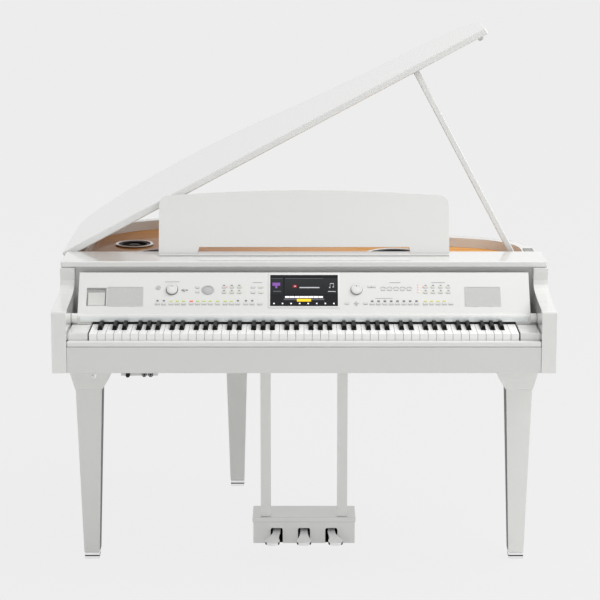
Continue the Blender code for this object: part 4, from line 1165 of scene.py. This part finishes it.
    def socket_bay(self) -> None:
        """The recess at the left: a shaded floor with two studs, and the pale flap over its socket."""
        left, right, foot, head, floor = *self.bay, self.bay_floor
        rest = floor + 0.0011
        sole = Bench.block("bay_floor", (left + 0.0006, foot + 0.0006, floor),
                           (right - 0.0006, head - 0.0006, floor + 0.0008), 0.0002, 1)
        Bench.seat(sole, "bay", ON_PANEL)
        flap = Bench.block("bay_flap", (left + 0.0040, foot + 0.0016, rest),
                           (right - 0.0040, head - self.bay_band, floor + 0.0068), 0.0012)
        Bench.dish(flap, 0.0022, 0.0004)
        Bench.seat(flap, "flap", ON_PANEL)
        stud = Bench.disc("bay_studs", (0.0, 0.0, rest), radius=0.0022, height=0.0016, edge=0.0004,
                          sides=16, crown=-0.0003)
        middle, row = (left + right) / 2, head - self.bay_band / 2
        studs = Bench.repeat(stud, self.level((middle - 0.0065, middle + 0.0085), row))
        Bench.seat(studs, "button", ON_PANEL)

    def screen(self) -> None:
        """The screen's white frame and its lit picture: plain tiles, bars and dots.

        Each tile is given by its left, foot, right, head and layer.
        """
        surround = Bench.slab("screen_frame", self.screen_middle, (0.1040, 0.0561), (SKIN, 0.0014), 0.0006)
        Bench.cut(surround, Bench.slab("window", self.screen_middle, (0.0988, 0.0507),
                                       (-THROUGH, THROUGH), 0.0008))
        Bench.seat(surround, "knob", Berth(Slot.LACQUER, "cover_body", PANEL))
        layers = {
            "screen_tile": [(-0.0956, 0.060, -0.0620, 0.1138, 1), (-0.0560, 0.0606, 0.0960, 0.1138, 1)],
            "screen_bar": [(-0.059, 0.0425, 0.059, 0.0477, 1), (-0.0955, 0.1120, -0.0625, 0.1134, 2),
                           (-0.0555, 0.1120, 0.0560, 0.1134, 2), (-0.090, 0.0690, -0.067, 0.0722, 2)],
            "screen_white": [(-0.055 + 0.0139 * n, 0.0497, -0.0422 + 0.0139 * n, 0.0552, 1) for n in range(8)]
            + [(-0.0893 + 0.0249 * n, 0.0295, -0.0853 + 0.0249 * n, 0.0335, 1) for n in range(8)],
            "screen_grey": [(-0.0130, 0.0812, 0.0450, 0.0848, 2), (0.0700, 0.0690, 0.0925, 0.0715, 2),
                            (0.0730, 0.0815, 0.0768, 0.0850, 2), (0.0835, 0.0835, 0.0873, 0.0870, 2),
                            (0.0758, 0.0835, 0.0768, 0.0960, 2), (0.0863, 0.0855, 0.0873, 0.0980, 2),
                            (0.0758, 0.0950, 0.0873, 0.0972, 2), (-0.0285, 0.0855, -0.0235, 0.0890, 3)],
            "screen_yellow": [(-0.0206, 0.0379, 0.0206, 0.0465, 2)],
            "screen_violet": [(-0.0923, 0.0890, -0.0695, 0.0990, 2), (-0.0840, 0.0808, -0.0778, 0.0890, 2)],
            "screen_red": [(-0.0325, 0.0830, -0.0215, 0.0915, 2)],
        }
        for finish, tiles in layers.items():
            made = []
            for left, foot, right, head, layer in tiles:
                base = 0.0006 + 0.00015 * layer
                border = min(right - left, head - foot) * 0.1
                tile = Bench.block("tile", (left, foot, base), (right, head, base + 0.0001), 0.00003, 1)
                if border > SKIN:
                    Bench.dish(tile, border, 0.0)
                made.append(tile)
            Bench.seat(Bench.join(f"picture_{finish}", made), finish, Berth(Slot.GLASS, "cover_body", PANEL))

    def build(self) -> None:
        """Builds all that stands on the panel."""
        for step in (self.buttons, self.marks, self.tempo_pad, self.knobs, self.grille_frames,
                     self.socket_bay, self.screen):
            step()


@dataclass
class DeskWork(Work):
    """The music desk and its struts, the ledge before it and the plates under the struts."""

    kept: ClassVar[Kept] = {
        "lacquer": ("music_desk",),
        "steel": ("desk_strut_left", "desk_strut_right"),
    }
    ledge_low: Spot = (-0.433, 0.3500, 0.9333)
    ledge_high: Spot = (0.433, 0.3650, 0.9385)
    strut_spot: Flat = (0.378, 0.405)

    def build(self) -> None:
        """Lays the ledge and the plates."""
        ledge = Bench.block("music_ledge", self.ledge_low, self.ledge_high, 0.0016)
        Bench.dish(ledge, 0.0030, 0.0010)
        Bench.seat(ledge, "lacquer", Berth(Slot.LACQUER))
        across, back = self.strut_spot
        plates = [Bench.slab("strut_plate", (sign * across, back), (0.016, 0.003), (0.93325, 0.9350), 0.0005)
                  for _, sign in SIDES]
        Bench.seat(Bench.join("strut_plates", plates), "steel", Berth(Slot.STEEL))


@dataclass
class StandWork(Work):
    """The legs with their caps and strips of painted shade, the pedal unit and its pedals.

    Each leg comes with the way to the middle along X, which is nought where it has no strip of painted shade.
    """

    kept: ClassVar[Kept] = {
        "lacquer": ("leg_front_left", "leg_front_right", "leg_rear", "pedal_post_left",
                    "pedal_post_right", "pedal_plate", "pedal_box"),
        "steel": ("pedal_shaft",),
    }
    inward: dict[str, float] = field(default_factory=lambda: {
        "front_left": 1.0, "front_right": -1.0, "rear": 0.0})
    knee: float = 0.5325
    pedal_pitch: float = 0.0825
    slot_half: float = 0.0182
    shade_lining_half: float = 0.1485

    def feet(self) -> None:
        """Gives each foot cap a dark parting line, and each front leg its strip of painted shade."""
        for name, way in self.inward.items():
            cap = Bench.likeness(f"foot_{name}", f"foot_cap_{name}")
            Bench.soften(cap, 0.0008, 40.0)
            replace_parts(Bench.seat(cap, "foot_metal", Berth(Slot.CHROME, carry=None)), f"foot_{name}")
            if way:
                self.painted_shade_strip(name, way)

    def painted_shade_strip(self, name: str, inward: float) -> None:
        """A thin dark strip laid on the inner side of a front leg, from its cap to its knee: painted shade on
        that side.

        Args:
            name: the leg's name.
            inward: the way from the leg to the middle, along X.
        """
        strip = Bench.likeness(f"leg_{name}", f"painted_leg_shade_{name}")
        Bench.pick(strip, lambda face: face.normal.x * inward < 0.95 or face.center.z > self.knee)
        bpy.ops.mesh.delete(type="FACE")
        bpy.ops.mesh.select_all(action="SELECT")
        bpy.ops.mesh.inset(thickness=0.0045)
        Bench.done()
        inner = max(face.area for face in strip.data.polygons)
        Bench.pick(strip, lambda face: face.area < inner * 0.2)
        bpy.ops.mesh.delete(type="FACE")
        Bench.done()
        Bench.apply(strip, "SOLIDIFY", thickness=0.0009, offset=1.0)
        Bench.seat(strip, "painted_shade_strip", Berth(Slot.DARK, carry=None))

    def pedals(self) -> None:
        """Rounded pedals, polished above, with painted shade in near black on their flanks and undersides."""
        for name in ("left", "middle", "right"):
            pedal = Bench.likeness(f"pedal_{name}", f"polished_pedal_{name}")
            Bench.soften(pedal, 0.0026, 50.0, 4)
            Bench.seat(pedal, "pedal_metal", Berth(Slot.CHROME, f"pedal_{name}_body", None), 45.0)
            pedal.data.materials.append(Cabinet.take("painted_shade_chrome"))
            # Faces that look neither up nor to the front take the near black chrome: painted shade on the
            # flanks and undersides.
            for face in pedal.data.polygons:
                face.material_index = int(face.normal.z < 0.35 and face.normal.y > -0.86)
            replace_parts(pedal, f"pedal_{name}")

    def pedal_slots(self) -> None:
        """A face plate with round-cornered slots, and dark sheets behind them in the box as painted shade."""
        plate = Bench.block("pedal_face", (-0.1524, 0.3117, 0.0573), (0.1524, 0.3124, 0.1229), 0.0002, 1)
        for step in (-1, 0, 1):
            across, half = step * self.pedal_pitch, self.slot_half
            Bench.cut(plate, Bench.block("slot_tool", (across - half, 0.29, 0.030),
                                         (across + half, 0.33, 0.1046), 0.0055, 3))
        Bench.seat(plate, "lacquer", Berth(Slot.LACQUER))
        # Dark sheets at the back and floor of the box behind the slots: painted shade inside the pedal box.
        half = self.shade_lining_half
        shade_lining = [Bench.block("shade_lining", (-half, 0.4180, 0.0600), (half, 0.4232, 0.1185), 0.0006),
                  Bench.block("shade_lining", (-half, 0.3172, 0.0576), (half, 0.4232, 0.0592), 0.0005)]
        Bench.seat(Bench.join("pedal_shade_lining", shade_lining), "felt", Berth(Slot.DARK))

    def build(self) -> None:
        """Builds what is new on the stand."""
        self.feet()
        self.pedals()
        self.pedal_slots()


@dataclass
class UnderWork(Work):
    """The jack box with its jacks and knob, and the headphone hook, under the keyboard."""

    kept: ClassVar[Kept] = {
        "cap": ("jack_box",),
        "felt": ("input_knob",),
    }
    jacks: Flat = (-0.4575, -0.4390)
    front: float = 0.0600
    middle: float = 0.6422
    hook_spot: Spot = (-0.603, 0.064, 0.6597)

    def noses(self) -> None:
        """Dark noses round the two jacks, each with a raised ring at its mouth."""
        noses, turn = [], (math.pi / 2, 0.0, 0.0)
        for across in self.jacks:
            noses.append(Bench.disc("jack_nose", (across, self.front - 0.0002, self.middle), radius=0.0066,
                                    height=0.0056, edge=0.0009, sides=24, crown=-0.0030, turn=turn))
            noses.append(Bench.ring("jack_mouth", (across, self.front - 0.0055, self.middle),
                                    radius=0.0036, wire=0.0005, turn=turn, sides=20))
        Bench.seat(Bench.join("jack_noses", noses), "felt", Berth(Slot.DARK))

    def hook(self) -> None:
        """The bent wire hook for headphones, on its pad."""
        across, back, top = self.hook_spot
        bends = ((-0.0075, 0.0, -0.002), (-0.0080, 0.0, -0.013), (-0.0035, -0.006, -0.0200),
                 (0.0020, -0.018, -0.0200), (0.0065, -0.0275, -0.0195), (0.0085, -0.0290, -0.010))
        wire = Bench.rod("bent_hook", [(across + x, back + y, top + z) for x, y, z in bends], 0.0024)
        pad = Bench.slab("hook_pad", (across, back), (0.012, 0.009), (top - 0.003, top), 0.0008)
        hook = Bench.join("bent_headphone_hook", [wire, pad])
        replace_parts(Bench.seat(hook, "chrome", Berth(Slot.STEEL), 50.0), "headphone_hook")

    def build(self) -> None:
        """Builds what hangs under the keyboard."""
        self.noses()
        self.hook()


@dataclass(frozen=True)
class Lamp:
    """A soft square studio lamp aimed at the piano."""

    name: str
    place: Spot
    aim: Spot
    size: float
    power: float

    def hang(self) -> None:
        """Adds the lamp."""
        data = bpy.data.lights.new(self.name, "AREA")
        data.energy = self.power
        data.shape = "SQUARE"
        data.size = self.size
        lamp = bpy.data.objects.new(self.name, data)
        bpy.context.scene.collection.objects.link(lamp)
        lamp.location = self.place
        lamp.visible_glossy = False
        lamp.rotation_euler = (Vector(self.aim) - Vector(self.place)).to_track_quat("-Z", "Y").to_euler()


@dataclass
class Studio:
    """The pale floor, the even world light, the lamps and the camera."""

    pale: Colour = (0.863, 0.863, 0.863)
    ambient: float = 0.50
    lamps: tuple[Lamp, ...] = (
        Lamp("overhead", (2.5, -1.0, 4.8), (0.0, 0.0, 0.8), 3.6, 168.0),
        Lamp("front_low", (-0.4, -4.8, 0.7), (0.0, 0.0, 0.7), 2.0, 31.0),
        Lamp("back_right", (3.4, 1.6, 4.4), (0.0, 0.2, 0.8), 3.0, 40.0),
    )
    eye: Spot = (CASE.x, -6.0103 + CASE.y, 2.1194)
    tilt: float = math.radians(10.142)
    lens: float = 130.61
    shift: Flat = (-4.0 / 600.0, -0.10)
    floor_size: float = 160.0
    floor_glow: float = 0.96

    def sky(self) -> None:
        """A pale world that the camera and polished surfaces see, and that lights evenly."""
        world = bpy.data.worlds.new("studio")
        bpy.context.scene.world = world
        world.use_nodes = True
        world.node_tree.nodes.clear()
        nodes = Nodes(world.node_tree)
        light = nodes.node("ShaderNodeBackground", None, {0: (1.0, 1.0, 1.0), 1: self.ambient})
        backdrop = nodes.node("ShaderNodeBackground", None, {0: self.pale, 1: 1.0})
        mixed = nodes.node("ShaderNodeMixShader", None,
                           {0: nodes.seen(), 1: light.outputs[0], 2: backdrop.outputs[0]})
        nodes.node("ShaderNodeOutputWorld", None, {0: mixed.outputs[0]})

    def floor(self) -> None:
        """A pale floor that keeps the piano's soft shadow and runs out of sight."""
        Bench.clear()
        bpy.ops.mesh.primitive_plane_add(size=self.floor_size, location=(0.0, 0.0, -0.0002))
        ground = bpy.context.object
        ground.name = "studio_floor"
        paint = Paint("studio_floor")
        paint.finish(Base_Color=(0.80, 0.80, 0.79), Roughness=0.9)
        glow = paint.node("ShaderNodeEmission", None, {"Color": self.pale, "Strength": 1.0})
        mixed = paint.node("ShaderNodeMixShader", None, {0: paint.seen() * self.floor_glow,
                                                         1: paint.surface.outputs[0], 2: glow.outputs[0]})
        paint.feed(paint.tree.nodes["Material Output"], {0: mixed.outputs[0]})
        ground.data.materials.append(paint.material)

    def camera(self) -> None:
        """The camera at the photograph's height, distance and tilt."""
        data = bpy.data.cameras.new("studio_camera")
        data.lens = self.lens
        data.sensor_width = 36.0
        data.shift_x, data.shift_y = self.shift
        data.clip_end = 200.0
        camera = bpy.data.objects.new("studio_camera", data)
        bpy.context.scene.collection.objects.link(camera)
        camera.location = self.eye
        camera.rotation_euler = (math.pi / 2 - self.tilt, 0.0, 0.0)
        bpy.context.scene.camera = camera

    def build(self) -> None:
        """Sets up the studio."""
        bpy.context.scene.view_settings.view_transform = "Standard"
        self.sky()
        self.floor()
        self.camera()
        for lamp in self.lamps:
            lamp.hang()


def main() -> None:
    """Builds the studio and every part of the piano in order."""
    logging.basicConfig(level=logging.INFO, format="%(name)s: %(message)s")
    Studio().build()
    for work in (CaseWork(), LidWork(), KeyboardWork(), PanelWork(), DeskWork(), StandWork(), UnderWork()):
        work.dress()
        work.build()
        LOG.info("finished %s", type(work).__name__)


if __name__ == "__main__":
    main()
